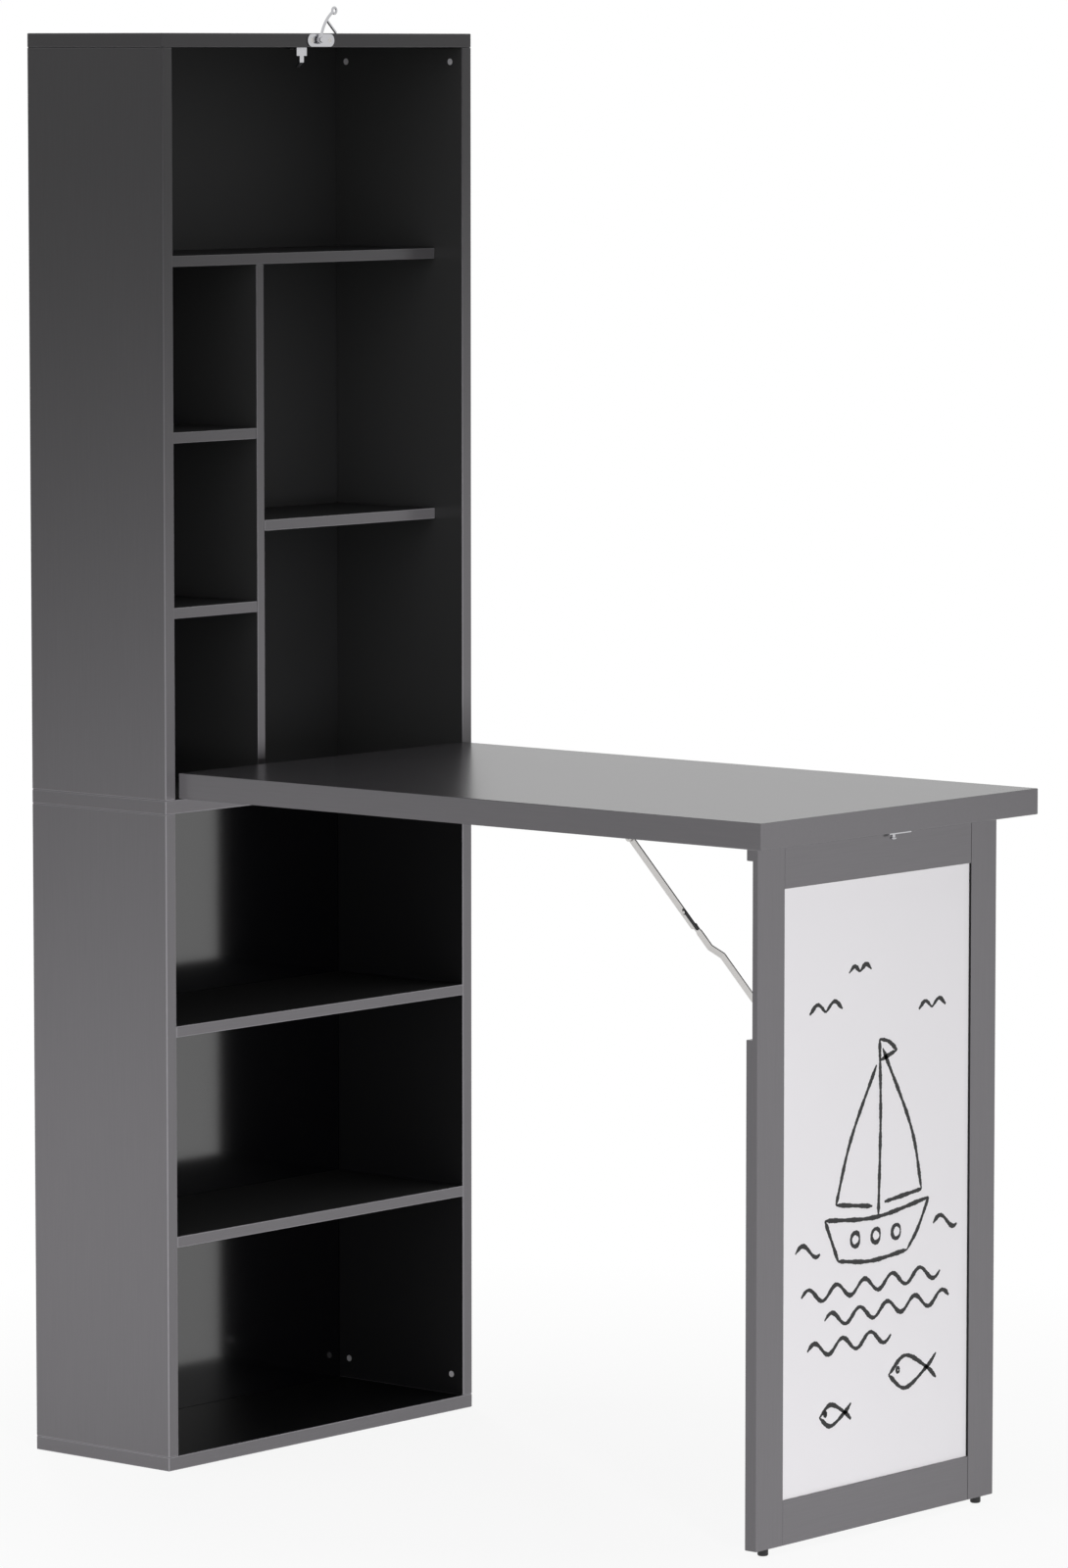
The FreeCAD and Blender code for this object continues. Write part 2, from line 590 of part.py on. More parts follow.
def stay_desk_bracket(side):
    """Foot on the desk's underside with an ear outside the upper link, its pin and its screws."""
    near = "stay_side + strap_thick / 2 + strap_gap"
    y, z = STAY_DESK
    face = f"{DESK_LOW} - foot_plate"
    ear = across(side, near, f"{near} + strap_thick")
    foot = across(side, near, f"{near} + desk_foot_wide")
    plate = join(
        block(ear, (f"{y} - ear_radius", f"{y} + ear_radius"), (z, DESK_LOW)),
        lengthwise(ear, y, z, "ear_radius"),
        block(foot, (f"{y} - foot_plate_long / 2", f"{y} + foot_plate_long / 2"), (face, DESK_LOW)))
    screw_x = middle(foot[0], foot[1])
    places = [((screw_x, f"{y} {way} bracket_screw", face), "+z") for way in ("-", "+")]
    screws, rooms = wood_screws(places)
    seat = "stay_side - strap_thick / 2 - strap_gap"
    shank = across(side, f"{seat} - rivet_high", f"{near} + strap_thick")
    head = across(side, f"{seat} - rivet_high", seat)
    pin = join(lengthwise(shank, y, z, "stay_pin"), lengthwise(head, y, z, "rivet_head"))
    bore = lengthwise(shank, y, z, "stay_pin + fit_play")
    return cut(plate, group(bore, *rooms)), pin, screws, rooms


def stay_leg_bracket(side):
    """Foot in the stile's notch with an ear outside the lower link, its pin and its screws."""
    plane = "(stay_side - strap_gap - strap_thick - joggle_step)"
    near = f"{plane} + strap_thick / 2 + strap_gap"
    y, z = STAY_LEG
    face = f"{NOTCH_FLOOR} + foot_plate"
    ear = across(side, near, f"{near} + strap_thick")
    foot = across(side, near, f"{near} + leg_foot_wide")
    plate = join(
        block(ear, (NOTCH_FLOOR, y), (f"{z} - ear_radius", f"{z} + ear_radius")),
        lengthwise(ear, y, z, "ear_radius"),
        block(foot, (NOTCH_FLOOR, face), (f"{z} - foot_plate_long / 2", f"{z} + foot_plate_long / 2")))
    clear = across(side, f"{near} + strap_thick", f"{near} + leg_foot_wide")
    screw_x = middle(clear[0], clear[1])
    places = [((screw_x, face, f"{z} {way} bracket_screw"), "-y") for way in ("-", "+")]
    screws, rooms = wood_screws(places, "screw_short")
    seat = f"{plane} - strap_thick / 2 - strap_gap"
    shank = across(side, f"{seat} - rivet_high", f"{near} + strap_thick")
    head = across(side, f"{seat} - rivet_high", seat)
    pin = join(lengthwise(shank, y, z, "stay_pin"), lengthwise(head, y, z, "rivet_head"))
    bore = lengthwise(shank, y, z, "stay_pin + fit_play")
    return cut(plate, group(bore, *rooms)), pin, screws, rooms


def round_ended(span, low, high):
    """Strap along Z with round ends about the points low and high."""
    return join(block(span, ("-strap_wide / 2", "strap_wide / 2"), (low, high)),
                lengthwise(span, "0", low, "strap_wide / 2"),
                lengthwise(span, "0", high, "strap_wide / 2"))


def set_on_pivot(solid, pivot):
    """Turns a piece drawn along Z into the stay's line and puts it on its pivot."""
    tilt(solid, -X_AXIS, STAY_TILT)
    return bind(solid, y=pivot[0], z=pivot[1])


def stay_upper_link(side):
    """Flat strap from the desk pivot to the middle pivot, with the release lever's rivet on its outer
    face. It is drawn hanging from its pivot."""
    near, far = "stay_side - strap_thick / 2", "stay_side + strap_thick / 2"
    cap = f"{far} + strap_gap * 2 + lever_thick"
    rivet = ("-(lever_outer - rivet_head)", f"-{UPPER_LINK} + lever_pivot")
    solid = join(round_ended(across(side, near, far), f"-{UPPER_LINK}", "0"),
                 lengthwise(across(side, near, cap), *rivet, "lever_pin"),
                 lengthwise(across(side, cap, f"{cap} + lever_cap"), *rivet, "lever_pin * 2"))
    bore = lengthwise(across(side, near, far), "0", "0", "stay_pin + fit_play")
    return set_on_pivot(cut(solid, bore), STAY_DESK)


def stay_lower_link(side):
    """Strap from the leg pivot to the middle pivot, where it narrows to a neck. Above its step it lies
    against the upper link, and below it runs beside the leg bracket's ear. It is drawn standing."""
    sign = "-1" if side == "left" else "1"
    upper = "(stay_side - strap_thick - strap_gap)"
    lower = f"({upper} - joggle_step)"
    half = "strap_thick / 2"
    low, high = "-strap_wide / 2", f"({LOWER_LINK} + strap_wide / 2)"
    bend = f"({LOWER_LINK} - joggle_from)"
    skew = "strap_thick * tan(atan2(joggle_step; joggle_long) / 2)"
    edge = [
        (f"{lower} - {half}", low), (f"{lower} - {half}", f"{bend} - joggle_long + {skew}"),
        (f"{upper} - {half}", f"{bend} + {skew}"), (f"{upper} - {half}", high),
        (f"{upper} + {half}", high), (f"{upper} + {half}", bend),
        (f"{lower} + {half}", f"{bend} - joggle_long"), (f"{lower} + {half}", low),
    ]
    bent = pad("XZ_Plane", [(f"{sign} * ({x})", z) for x, z in edge], "strap_wide", low)
    span = across(side, f"{lower} - {half}", f"{upper} + {half}")
    outline = join(round_ended(span, "0", f"{LOWER_LINK} - neck_long"),
                   block(span, ("-neck_wide / 2", "neck_wide / 2"), ("0", LOWER_LINK)),
                   lengthwise(span, "0", LOWER_LINK, "neck_wide / 2"))
    head = across(side, f"{upper} - {half} - rivet_high", f"{upper} - {half}")
    solid = join(common(bent, outline), lengthwise(head, "0", LOWER_LINK, "rivet_head"))
    eye = across(side, f"{lower} - {half}", f"{lower} + {half}")
    bore = lengthwise(eye, "0", "0", "stay_pin + fit_play")
    return set_on_pivot(cut(solid, bore), STAY_LEG)


def stay_release_lever(side):
    """Thin lever on the upper link's outer face. Its thumb edge stands proud of the link's edge."""
    near = "stay_side + strap_thick / 2 + strap_gap"
    span = across(side, near, f"{near} + lever_thick")
    rivet = ("-(lever_outer - rivet_head)", f"-{UPPER_LINK} + lever_pivot")
    edge = middle("-lever_outer", "-lever_inner")
    radius = "(lever_outer - lever_inner) / 2"
    low, high = f"-{UPPER_LINK} - lever_below + {radius}", f"-{UPPER_LINK} + lever_above - {radius}"
    blade = join(block(span, ("-lever_outer", "-lever_inner"), (low, high)),
                 *[lengthwise(span, edge, end, radius) for end in (low, high)],
                 lengthwise(span, *rivet, "rivet_head"))
    bore = lengthwise(span, *rivet, "lever_pin + fit_play")
    return set_on_pivot(cut(blade, bore), STAY_DESK)


def leg_stile(side, room):
    """Stile padded from its side view, with the notch for the folded stay in its rear."""
    notch = (f"{STAY_LEG[1]} - notch_foot", f"{SWING_Z} - notch_head")
    profile = [
        (LEG_FRONT, "foot_high"), (LEG_REAR, "foot_high"), (LEG_REAR, notch[0]), (NOTCH_FLOOR, notch[0]),
        (NOTCH_FLOOR, notch[1]), (LEG_REAR, notch[1]), (LEG_REAR, LEG_TOP), (LEG_FRONT, LEG_TOP),
    ]
    span = across(side, STILE_IN, "leg_width / 2")
    return cut(pad("YZ_Plane", profile, "stile_wide", span[0]), room)


def leg_rail(low, high, outer_edge):
    """Rail between the stiles, with a tongue at each end. The tongues stop short of the outer edge."""
    rail = board((f"-{STILE_IN}", STILE_IN), (LEG_FRONT, LEG_REAR), (low, high))
    tongue_y = (f"{LEG_FRONT} + panel_sink", f"{LEG_FRONT} + panel_sink + panel_thick")
    tongue_z = (f"{low} + tongue_stop", high) if outer_edge == "low" else (low, f"{high} - tongue_stop")
    spans = [across(side, STILE_IN, f"{STILE_IN} + tongue_long") for side in ("left", "right")]
    ends = [block(span, tongue_y, tongue_z) for span in spans]
    return join(rail, *ends)


def cabinet():
    """Boards, shelves, panels and fastenings of the bookcase, and what is fixed to it."""
    backs = {
        "upper_back_panel": ("deck_level - groove_deep", f"{TOP_IN} + groove_deep"),
        "lower_back_panel": ("board_thick - groove_deep", f"{DECK_LOW} + groove_deep"),
    }
    panel_x = (f"{LEFT_IN} - groove_deep", f"{RIGHT_IN} + groove_deep")
    panel_y = (BACK_FACE, f"{BACK_FACE} + back_thick")
    panels = [node(name, board(panel_x, panel_y, z)) for name, z in backs.items()]

    shelf_pegs, shelf_rooms = dowels(shelf_dowel_places(), "dowel_panel + dowel_shelf", "dowel_radius")
    posts = []
    for side in ("-1", "1"):
        for depth in ("dowel_front / 2", "dowel_rear"):
            x = f"{side} * ({RIGHT_IN} + board_thick / 2)"
            posts.append(((x, f"{FRONT} + {depth}", f"{DECK_LOW} - post_deep"), "+z"))
    post_pegs, post_rooms = dowels(posts, "board_thick + post_deep * 2", "post_radius")
    nuts, bolts, corner_rooms = corner_fastening()
    hinges = hinge_pair(FOLD_Y, FOLD_Z, "fold_gap", "fold_side", "fold_long", "fold_wide", "+z")
    plate, rivet, latch_screws, latch_rooms = latch_fittings()
    stop, stop_screws, stop_rooms = desk_stop()
    room = group(*panels, *shelf_rooms, *post_rooms, *corner_rooms, *[hinge["room"] for hinge in hinges],
                 *latch_rooms, *stop_rooms)

    full_x, full_y = (LEFT, RIGHT), (FRONT, REAR)
    between = (LEFT_IN, RIGHT_IN)
    recessed = (SHELF_FRONT, BACK_FACE)
    flush = (FRONT, BACK_FACE)
    boards = [
        ("bottom_board", full_x, full_y, ("0", "board_thick")),
        ("middle_board", full_x, full_y, (DECK_LOW, "deck_level")),
        ("top_board", full_x, full_y, (TOP_IN, "cab_height")),
        ("lower_left_side", (LEFT, LEFT_IN), full_y, ("board_thick", DECK_LOW)),
        ("lower_right_side", (RIGHT_IN, RIGHT), full_y, ("board_thick", DECK_LOW)),
        ("upper_left_side", (LEFT, LEFT_IN), full_y, ("deck_level", TOP_IN)),
        ("upper_right_side", (RIGHT_IN, RIGHT), full_y, ("deck_level", TOP_IN)),
        ("divider", (DIVIDER_LEFT, DIVIDER_RIGHT), recessed, ("deck_level", "upper_level")),
    ]
    shelves = [
        ("lower_shelf_first", between, flush, "lower_first"),
        ("lower_shelf_second", between, flush, "lower_second"),
        ("upper_shelf", between, recessed, "upper_level"),
        ("left_shelf_first", (LEFT_IN, DIVIDER_LEFT), recessed, "left_first"),
        ("left_shelf_second", (LEFT_IN, DIVIDER_LEFT), recessed, "left_second"),
        ("right_shelf", (DIVIDER_RIGHT, RIGHT_IN), recessed, "right_level"),
    ]
    boards += [(name, x, y, (level, f"{level} + shelf_thick")) for name, x, y, level in shelves]
    for name, x, y, z in boards:
        node(name, cut(board(x, y, z), room))

    node("shelf_dowels", group(*shelf_pegs))
    node("middle_dowels", group(*post_pegs))
    node("barrel_nuts", group(*nuts))
    node("corner_bolts", group(*bolts))
    for side, hinge in zip(("left", "right"), hinges):
        node(f"desk_hinge_fixed_leaf_{side}", hinge["lying"])
    node("desk_hinge_pins", group(*[hinge["pin"] for hinge in hinges]))
    node("latch_plate", plate)
    node("latch_rivet", rivet)
    node("desk_stop", stop)
    hinge_screws = [screw for hinge in hinges for screw in hinge["lying_screws"]]
    node("cabinet_screws", group(*hinge_screws, *latch_screws, *stop_screws))
    return hinges


def desk_board(fold_hinges):
    """Desk top, its hinge leaves, the catch and the brackets under it."""
    swing_hinges = hinge_pair(SWING_Y, SWING_Z, "swing_gap", "swing_side", "swing_long", "swing_wide", "-z")
    plate, post, catch_screws, catch_rooms = catch_fittings()
    brackets = {side: stay_desk_bracket(side) for side in ("left", "right")}
    screws = list(catch_screws)
    rooms = list(catch_rooms)
    pins = []
    for side, hinge in zip(brackets, fold_hinges):
        node(f"desk_hinge_moving_leaf_{side}", hinge["standing"])
        screws += hinge["standing_screws"]
        rooms.append(hinge["room"])
    for side, hinge in zip(brackets, swing_hinges):
        node(f"leg_hinge_desk_leaf_{side}", hinge["lying"])
        screws += hinge["lying_screws"]
        rooms.append(hinge["room"])
    for side, (bracket, pin, bracket_screws, bracket_rooms) in brackets.items():
        node(f"stay_desk_bracket_{side}", bracket)
        pins.append(pin)
        screws += bracket_screws
        rooms += bracket_rooms
    top = board(("-desk_width / 2", "desk_width / 2"), (DESK_OUT, DESK_IN),
                (DESK_LOW, f"{DESK_LOW} + desk_thick"))
    node("desk_top", cut(top, group(*rooms)))
    node("leg_hinge_pins", group(*[hinge["pin"] for hinge in swing_hinges]))
    node("catch_plate", plate)
    node("catch_post", post)
    node("stay_desk_pins", group(*pins))
    node("desk_screws", group(*screws))
    return swing_hinges


def leg_frame(swing_hinges):
    """Whiteboard in its frame, with the feet, hinge leaves and brackets on it."""
    edge = f"({STILE_IN} + tongue_long)"
    low, high = "foot_high + rail_wide", f"{LEG_TOP} - rail_wide"
    panel_y = (f"{LEG_FRONT} + panel_sink", f"{LEG_FRONT} + panel_sink + panel_thick")
    panel_z = (f"{low} - tongue_long", f"{high} + tongue_long")
    panel = node("whiteboard", board((f"-{edge}", edge), panel_y, panel_z))
    feet = []
    stems = []
    for sign in ("-1", "1"):
        at = (f"{sign} * (leg_width / 2 - foot_side)", middle(LEG_FRONT, LEG_REAR), "0")
        stem_top = "foot_high + stem_long"
        profile = [
            ("0", "0"), ("foot_radius - foot_bevel", "0"), ("foot_radius", "foot_bevel"),
            ("foot_radius", "foot_high"), ("stem_radius", "foot_high"), ("stem_radius", stem_top),
            ("0", stem_top),
        ]
        feet.append(turned(profile, at, "+z"))
        stems.append(rod((at[0], at[1], "foot_high"), "+z", "stem_long + fit_play", "stem_radius + fit_play"))
    brackets = {side: stay_leg_bracket(side) for side in ("left", "right")}
    screws = []
    pins = []
    stile_rooms = list(stems)
    for side, hinge in zip(brackets, swing_hinges):
        node(f"leg_hinge_leg_leaf_{side}", hinge["standing"])
        screws += hinge["standing_screws"]
    for side, (bracket, pin, bracket_screws, bracket_rooms) in brackets.items():
        node(f"stay_leg_bracket_{side}", bracket)
        pins.append(pin)
        screws += bracket_screws
        stile_rooms += bracket_rooms
    top_rail = leg_rail(high, LEG_TOP, "high")
    bottom_rail = leg_rail("foot_high", low, "low")
    node("leg_top_rail", cut(top_rail, group(panel, *[hinge["room"] for hinge in swing_hinges])))
    node("leg_bottom_rail", cut(bottom_rail, panel))
    stile_room = group(join(panel, top_rail, bottom_rail), *stile_rooms)
    for side in brackets:
        node(f"leg_{side}_stile", leg_stile(side, stile_room))
    node("leg_feet", group(*feet))
    node("stay_leg_pins", group(*pins))
    node("leg_screws", group(*screws))


def folding_stays():
    for side in ("left", "right"):
        node(f"stay_upper_link_{side}", stay_upper_link(side))
        node(f"stay_lower_link_{side}", stay_lower_link(side))
        node(f"stay_release_lever_{side}", stay_release_lever(side))


def write_nodes():
    """Checks every object, then writes each finished piece."""
    doc.recompute()
    for thing in doc.Objects:
        if "Invalid" in thing.State or "Error" in thing.State:
            raise RuntimeError(f"{thing.Name} failed: {thing.State}")
    for solid in nodes:
        if solid.Shape.isNull() or not solid.Shape.isValid():
            raise RuntimeError(f"{solid.Label} has no valid shape")
    os.makedirs("parts", exist_ok=True)
    for solid in nodes:
        solid.Shape.exportStep(f"parts/{solid.Label}.step")


leg_frame(desk_board(cabinet()))
folding_stays()
node("latch_hook", latch_hook())
write_nodes()
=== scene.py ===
"""Folding desk: a slim dark grey bookcase, its fold-down desk board and the framed whiteboard leg."""
import functools
import json
import math

import bmesh
import bpy
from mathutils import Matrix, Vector


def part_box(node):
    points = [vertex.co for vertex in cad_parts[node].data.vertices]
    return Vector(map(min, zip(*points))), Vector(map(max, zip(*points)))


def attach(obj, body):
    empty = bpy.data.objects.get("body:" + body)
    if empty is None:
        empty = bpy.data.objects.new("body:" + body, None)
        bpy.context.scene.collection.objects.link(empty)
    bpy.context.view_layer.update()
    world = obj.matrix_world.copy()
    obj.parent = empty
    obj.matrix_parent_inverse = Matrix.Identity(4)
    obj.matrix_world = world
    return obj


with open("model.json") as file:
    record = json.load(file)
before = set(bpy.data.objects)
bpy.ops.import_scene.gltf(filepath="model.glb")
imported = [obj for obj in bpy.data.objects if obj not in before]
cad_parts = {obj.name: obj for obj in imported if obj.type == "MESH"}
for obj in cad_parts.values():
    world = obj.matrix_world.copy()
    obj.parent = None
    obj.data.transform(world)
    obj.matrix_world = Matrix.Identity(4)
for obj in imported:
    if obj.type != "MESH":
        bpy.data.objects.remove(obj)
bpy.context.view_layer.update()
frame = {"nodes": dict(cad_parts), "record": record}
nodes = frame["nodes"]
MM = 0.001
WHITE = (1, 1, 1, 1)

# Places taken from the frame, in metres.
cabinet_low, cabinet_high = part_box("bottom_board")[0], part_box("top_board")[1]
side_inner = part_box("lower_shelf_first")[1].x
back_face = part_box("lower_back_panel")[0].y
board_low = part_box("whiteboard")[0]
window_low = Vector((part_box("leg_left_stile")[1].x, 0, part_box("leg_bottom_rail")[1].z))
window_high = Vector((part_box("leg_right_stile")[0].x, 0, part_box("leg_top_rail")[0].z))

# Melamine: grain width in millimetres, how far the grain is drawn out, the range of its satin gloss, and
# the grit of the pressed skin with its depth in millimetres. The real grain and grit are finer, and drawn
# this coarse so that they show.
GRAIN_WIDE, GRAIN_STRETCH = 1.6, 0.03
SATIN_LOW, SATIN_HIGH, MELAMINE_IOR = 0.24, 0.28, 1.41
PRESS_GRIT, PRESS_DEEP, PRESS_BUMP = 1.2, 0.02, 0.35
# Clear coat on the upper walls: a dull sheen that grows towards the open front.
WALL_COAT_IOR, WALL_COAT_ROUGH = 1.85, 0.8
# Painted shade: darker colours put on the boards' faces inside the compartments, darkest below the desk, on
# the desk's top face and in the whiteboard's reveal. For each: the faces that have it, how far it covers
# them, its colour, roughness and clear coat.
PAINTED_SHADES = {
    "upper": ("compartment", 1.0, "0e0e0f", 0.6, False),
    "wall": ("compartment", 1.0, "0e0e0f", 0.15, True),
    "lower": ("compartment", 1.0, "040405", 0.8, False),
    "floor": ("compartment", 1.0, "040405", 0.42, False),
    # The desk's top face, darkened as painted shade.
    "surface": ("surface", 0.6, "040405", 0.25, False),
    # The stiles' inner faces round the whiteboard, darkened as painted shade in the recess.
    "reveal": ("reveal", 1.0, "040405", 0.6, False),
}
# Boards whose painted shade doesn't follow from their height in the cabinet.
OWN_PAINTED_SHADE = {
    "bottom_board": "floor",
    "upper_right_side": "wall",
    "divider": "wall",
    "desk_top": "surface",
    "leg_left_stile": "reveal",
    "leg_right_stile": "reveal",
}
# A face looks along an axis where the cosine between them is over this.
FACING_LIMIT = 0.6
# How far the painted shade keeps from the boards' outer faces, and past their inner ones, in metres.
PAST_SIDE, FROM_FRONT, FROM_END = 0.5 * MM, 1 * MM, 2 * MM

# Hardboard: width and height of its slow ripple in millimetres, its bare rear and its lacquer.
RIPPLE_WIDE, RIPPLE_HIGH, RIPPLE_BUMP = 60, 0.4, 0.2
REAR_GREY, REAR_ROUGH = "4c4a4d", 0.55
LACQUER_IOR, HARDBOARD_IOR = 1.6, 1.5

# Other finishes, in millimetres: wiped clouds, chalky zinc, beech flecks, skips of the felt, and the grain
# of the plastic's mould with its depth. Chalk, flecks and mould grain are finer on the real pieces, and
# drawn this coarse so that they show.
WIPE_WIDE, CHALK_GRIT, FLECK_WIDE, SKIP_WIDE = 120, 1, 1.5, 3
SPARK_GRIT, SPARK_DEEP = 0.6, 0.04
# How far polishing streaks and beech flecks are drawn out along the piece.
STREAK_STRETCH, FLECK_STRETCH = (1, 1, 0.1), (0.15, 1, 1)


def hex_linear(code):
    """Linear colour of an sRGB hex value such as 68666a."""
    channels = [int(code[place:place + 2], 16) / 255 for place in (0, 2, 4)]
    return [c / 12.92 if c <= 0.04045 else ((c + 0.055) / 1.055) ** 2.4 for c in channels] + [1.0]


def add(tree, kind, inputs=None, **settings):
    """Adds a node; inputs maps a socket to a value or to another node's output."""
    made = tree.nodes.new(kind)
    for name, value in settings.items():
        setattr(made, name, value)
    for socket, value in (inputs or {}).items():
        if isinstance(value, bpy.types.NodeSocket):
            tree.links.new(value, made.inputs[socket])
        else:
            made.inputs[socket].default_value = value
    return made


def finish_named(name):
    """Empty material with its tree and shader; the caller sets the rest."""
    material = bpy.data.materials.new(name)
    material.use_nodes = True
    tree = material.node_tree
    return material, tree, tree.nodes["Principled BSDF"]


def per_mm(size):
    """Texture scale whose features are about this many millimetres across."""
    return 1000 / size


def two_tone(tree, place, size, dark, light, detail=4.0):
    """Noise with features of this size in millimetres, and the tint between two colours that it gives."""
    noise = add(tree, "ShaderNodeTexNoise", {"Vector": place, "Scale": per_mm(size), "Detail": detail})
    share = noise.outputs["Fac"]
    tint = add(tree, "ShaderNodeMix", {"Factor": share, "A": hex_linear(dark), "B": hex_linear(light)},
               data_type="RGBA")
    return share, tint.outputs["Result"]


def pressed_texture(tree, place, grit, deep):
    """Bump of a pressed or moulded skin: fine grit of this size and depth, in millimetres."""
    grain = add(tree, "ShaderNodeTexNoise", {"Vector": place, "Scale": per_mm(grit), "Detail": 3.0})
    relief = {"Height": grain.outputs["Fac"], "Strength": PRESS_BUMP, "Distance": deep * MM}
    return add(tree, "ShaderNodeBump", relief).outputs["Normal"]


def painted_shade_faces(tree, coords, kind):
    """Socket that is 1 on the faces with painted shade and 0 on the others.

    These are the faces that look into the compartments, the desk's surface, or the stiles' edges
    around the whiteboard.
    """
    spot = add(tree, "ShaderNodeSeparateXYZ", {"Vector": coords.outputs["Object"]}).outputs
    facing = add(tree, "ShaderNodeSeparateXYZ", {"Vector": coords.outputs["Normal"]}).outputs
    reach = add(tree, "ShaderNodeMath", {0: spot["X"]}, operation="ABSOLUTE").outputs[0]
    sideways = add(tree, "ShaderNodeMath", {0: facing["X"]}, operation="ABSOLUTE").outputs[0]
    tests = {
        "compartment": (
            (reach, "LESS_THAN", side_inner + PAST_SIDE),
            (spot["Y"], "GREATER_THAN", cabinet_low.y + FROM_FRONT),
            (spot["Y"], "LESS_THAN", back_face + FROM_FRONT),
            (spot["Z"], "GREATER_THAN", cabinet_low.z + FROM_END),
            (spot["Z"], "LESS_THAN", cabinet_high.z - FROM_END),
            (facing["Y"], "GREATER_THAN", -FACING_LIMIT)),
        "surface": ((facing["Z"], "GREATER_THAN", FACING_LIMIT),),
        "reveal": (
            (reach, "LESS_THAN", window_high.x + PAST_SIDE),
            (sideways, "GREATER_THAN", FACING_LIMIT)),
    }[kind]
    painted_shade_share = None
    for value, operation, limit in tests:
        test = add(tree, "ShaderNodeMath", {0: value, 1: limit}, operation=operation).outputs[0]
        if painted_shade_share is not None:
            test = add(tree, "ShaderNodeMath", {0: painted_shade_share, 1: test}, operation="MULTIPLY").outputs[0]
        painted_shade_share = test
    return painted_shade_share


def melamine(name, dark, light, along, painted_shade):
    """Melamine paper pressed on chipboard: satin, with a fine grain along the board's length.

    A board with painted shade has this colour outside and on its edges, and the shade's darker colour on its
    shaded faces.
    """
    material, tree, shader = finish_named(name)
    coords = add(tree, "ShaderNodeTexCoord")
    place = coords.outputs["Object"]
    stretch = [GRAIN_STRETCH if axis == along else 1 for axis in "xyz"]
    drawn = add(tree, "ShaderNodeMapping", {"Vector": place, "Scale": stretch}).outputs["Vector"]
    grain, tint = two_tone(tree, drawn, GRAIN_WIDE, dark, light)
    satin = {"Value": grain, "To Min": SATIN_LOW, "To Max": SATIN_HIGH}
    rough = add(tree, "ShaderNodeMapRange", satin).outputs["Result"]
    # Painted shade: a darker colour mixed onto the faces in the compartments, on the desk's top or in the
    # reveal.
    if painted_shade:
        faces, cover, colour, gloss, coated = PAINTED_SHADES[painted_shade]
        painted_shade_share = add(tree, "ShaderNodeMath", {0: painted_shade_faces(tree, coords, faces), 1: cover},
                    operation="MULTIPLY").outputs[0]
        tint = add(tree, "ShaderNodeMix", {"Factor": painted_shade_share, "A": tint, "B": hex_linear(colour)},
                   data_type="RGBA").outputs["Result"]
        rough = add(tree, "ShaderNodeMix", {"Factor": painted_shade_share, "A": rough, "B": gloss}).outputs["Result"]
        if coated:
            tree.links.new(painted_shade_share, shader.inputs["Coat Weight"])
            shader.inputs["Coat IOR"].default_value = WALL_COAT_IOR
            shader.inputs["Coat Roughness"].default_value = WALL_COAT_ROUGH
    tree.links.new(tint, shader.inputs["Base Color"])
    tree.links.new(rough, shader.inputs["Roughness"])
    tree.links.new(pressed_texture(tree, place, PRESS_GRIT, PRESS_DEEP), shader.inputs["Normal"])
    shader.inputs["IOR"].default_value = MELAMINE_IOR
    return material


def hardboard(name, dark, light, inner_rough, lacquer):
    """Hardboard sheet: lacquered towards the compartments over a near-black colour that is painted shade,
    with a slow ripple; dull grey behind.

    The lacquer, from 0 to 1, is a clear coat as smooth as the shaded colour under it.
    """
    material, tree, shader = finish_named(name)
    coords = add(tree, "ShaderNodeTexCoord")
    facing = add(tree, "ShaderNodeSeparateXYZ", {"Vector": coords.outputs["Normal"]}).outputs
    behind = add(tree, "ShaderNodeMath", {0: facing["Y"], 1: FACING_LIMIT},
                 operation="GREATER_THAN").outputs[0]
    # The front's near-black tone is painted shade; the rear stays grey.
    ripple, shade_tone = two_tone(tree, coords.outputs["Object"], RIPPLE_WIDE, dark, light, detail=2.0)
    tint = add(tree, "ShaderNodeMix", {"Factor": behind, "A": shade_tone, "B": hex_linear(REAR_GREY)},
               data_type="RGBA")
    rough = add(tree, "ShaderNodeMapRange", {"Value": behind, "To Min": inner_rough, "To Max": REAR_ROUGH})
    coat = add(tree, "ShaderNodeMapRange", {"Value": behind, "To Min": lacquer, "To Max": 0.0})
    bump = add(tree, "ShaderNodeBump",
               {"Height": ripple, "Strength": RIPPLE_BUMP, "Distance": RIPPLE_HIGH * MM})
    tree.links.new(tint.outputs["Result"], shader.inputs["Base Color"])
    tree.links.new(rough.outputs["Result"], shader.inputs["Roughness"])
    tree.links.new(coat.outputs["Result"], shader.inputs["Coat Weight"])
    tree.links.new(bump.outputs["Normal"], shader.inputs["Normal"])
    shader.inputs["Coat IOR"].default_value = LACQUER_IOR
    shader.inputs["Coat Roughness"].default_value = inner_rough
    shader.inputs["IOR"].default_value = HARDBOARD_IOR
    return material


def white_laminate():
    """Marker board laminate: cool white and glossy, faintly clouded by wiping."""
    material, tree, shader = finish_named("white_laminate")
    place = add(tree, "ShaderNodeTexCoord").outputs["Object"]
    wiped, tint = two_tone(tree, place, WIPE_WIDE, "d4d2d5", "d6d4d7")
    rough = add(tree, "ShaderNodeMapRange", {"Value": wiped, "To Min": 0.26, "To Max": 0.31})
    tree.links.new(tint, shader.inputs["Base Color"])
    tree.links.new(rough.outputs["Result"], shader.inputs["Roughness"])
    return material


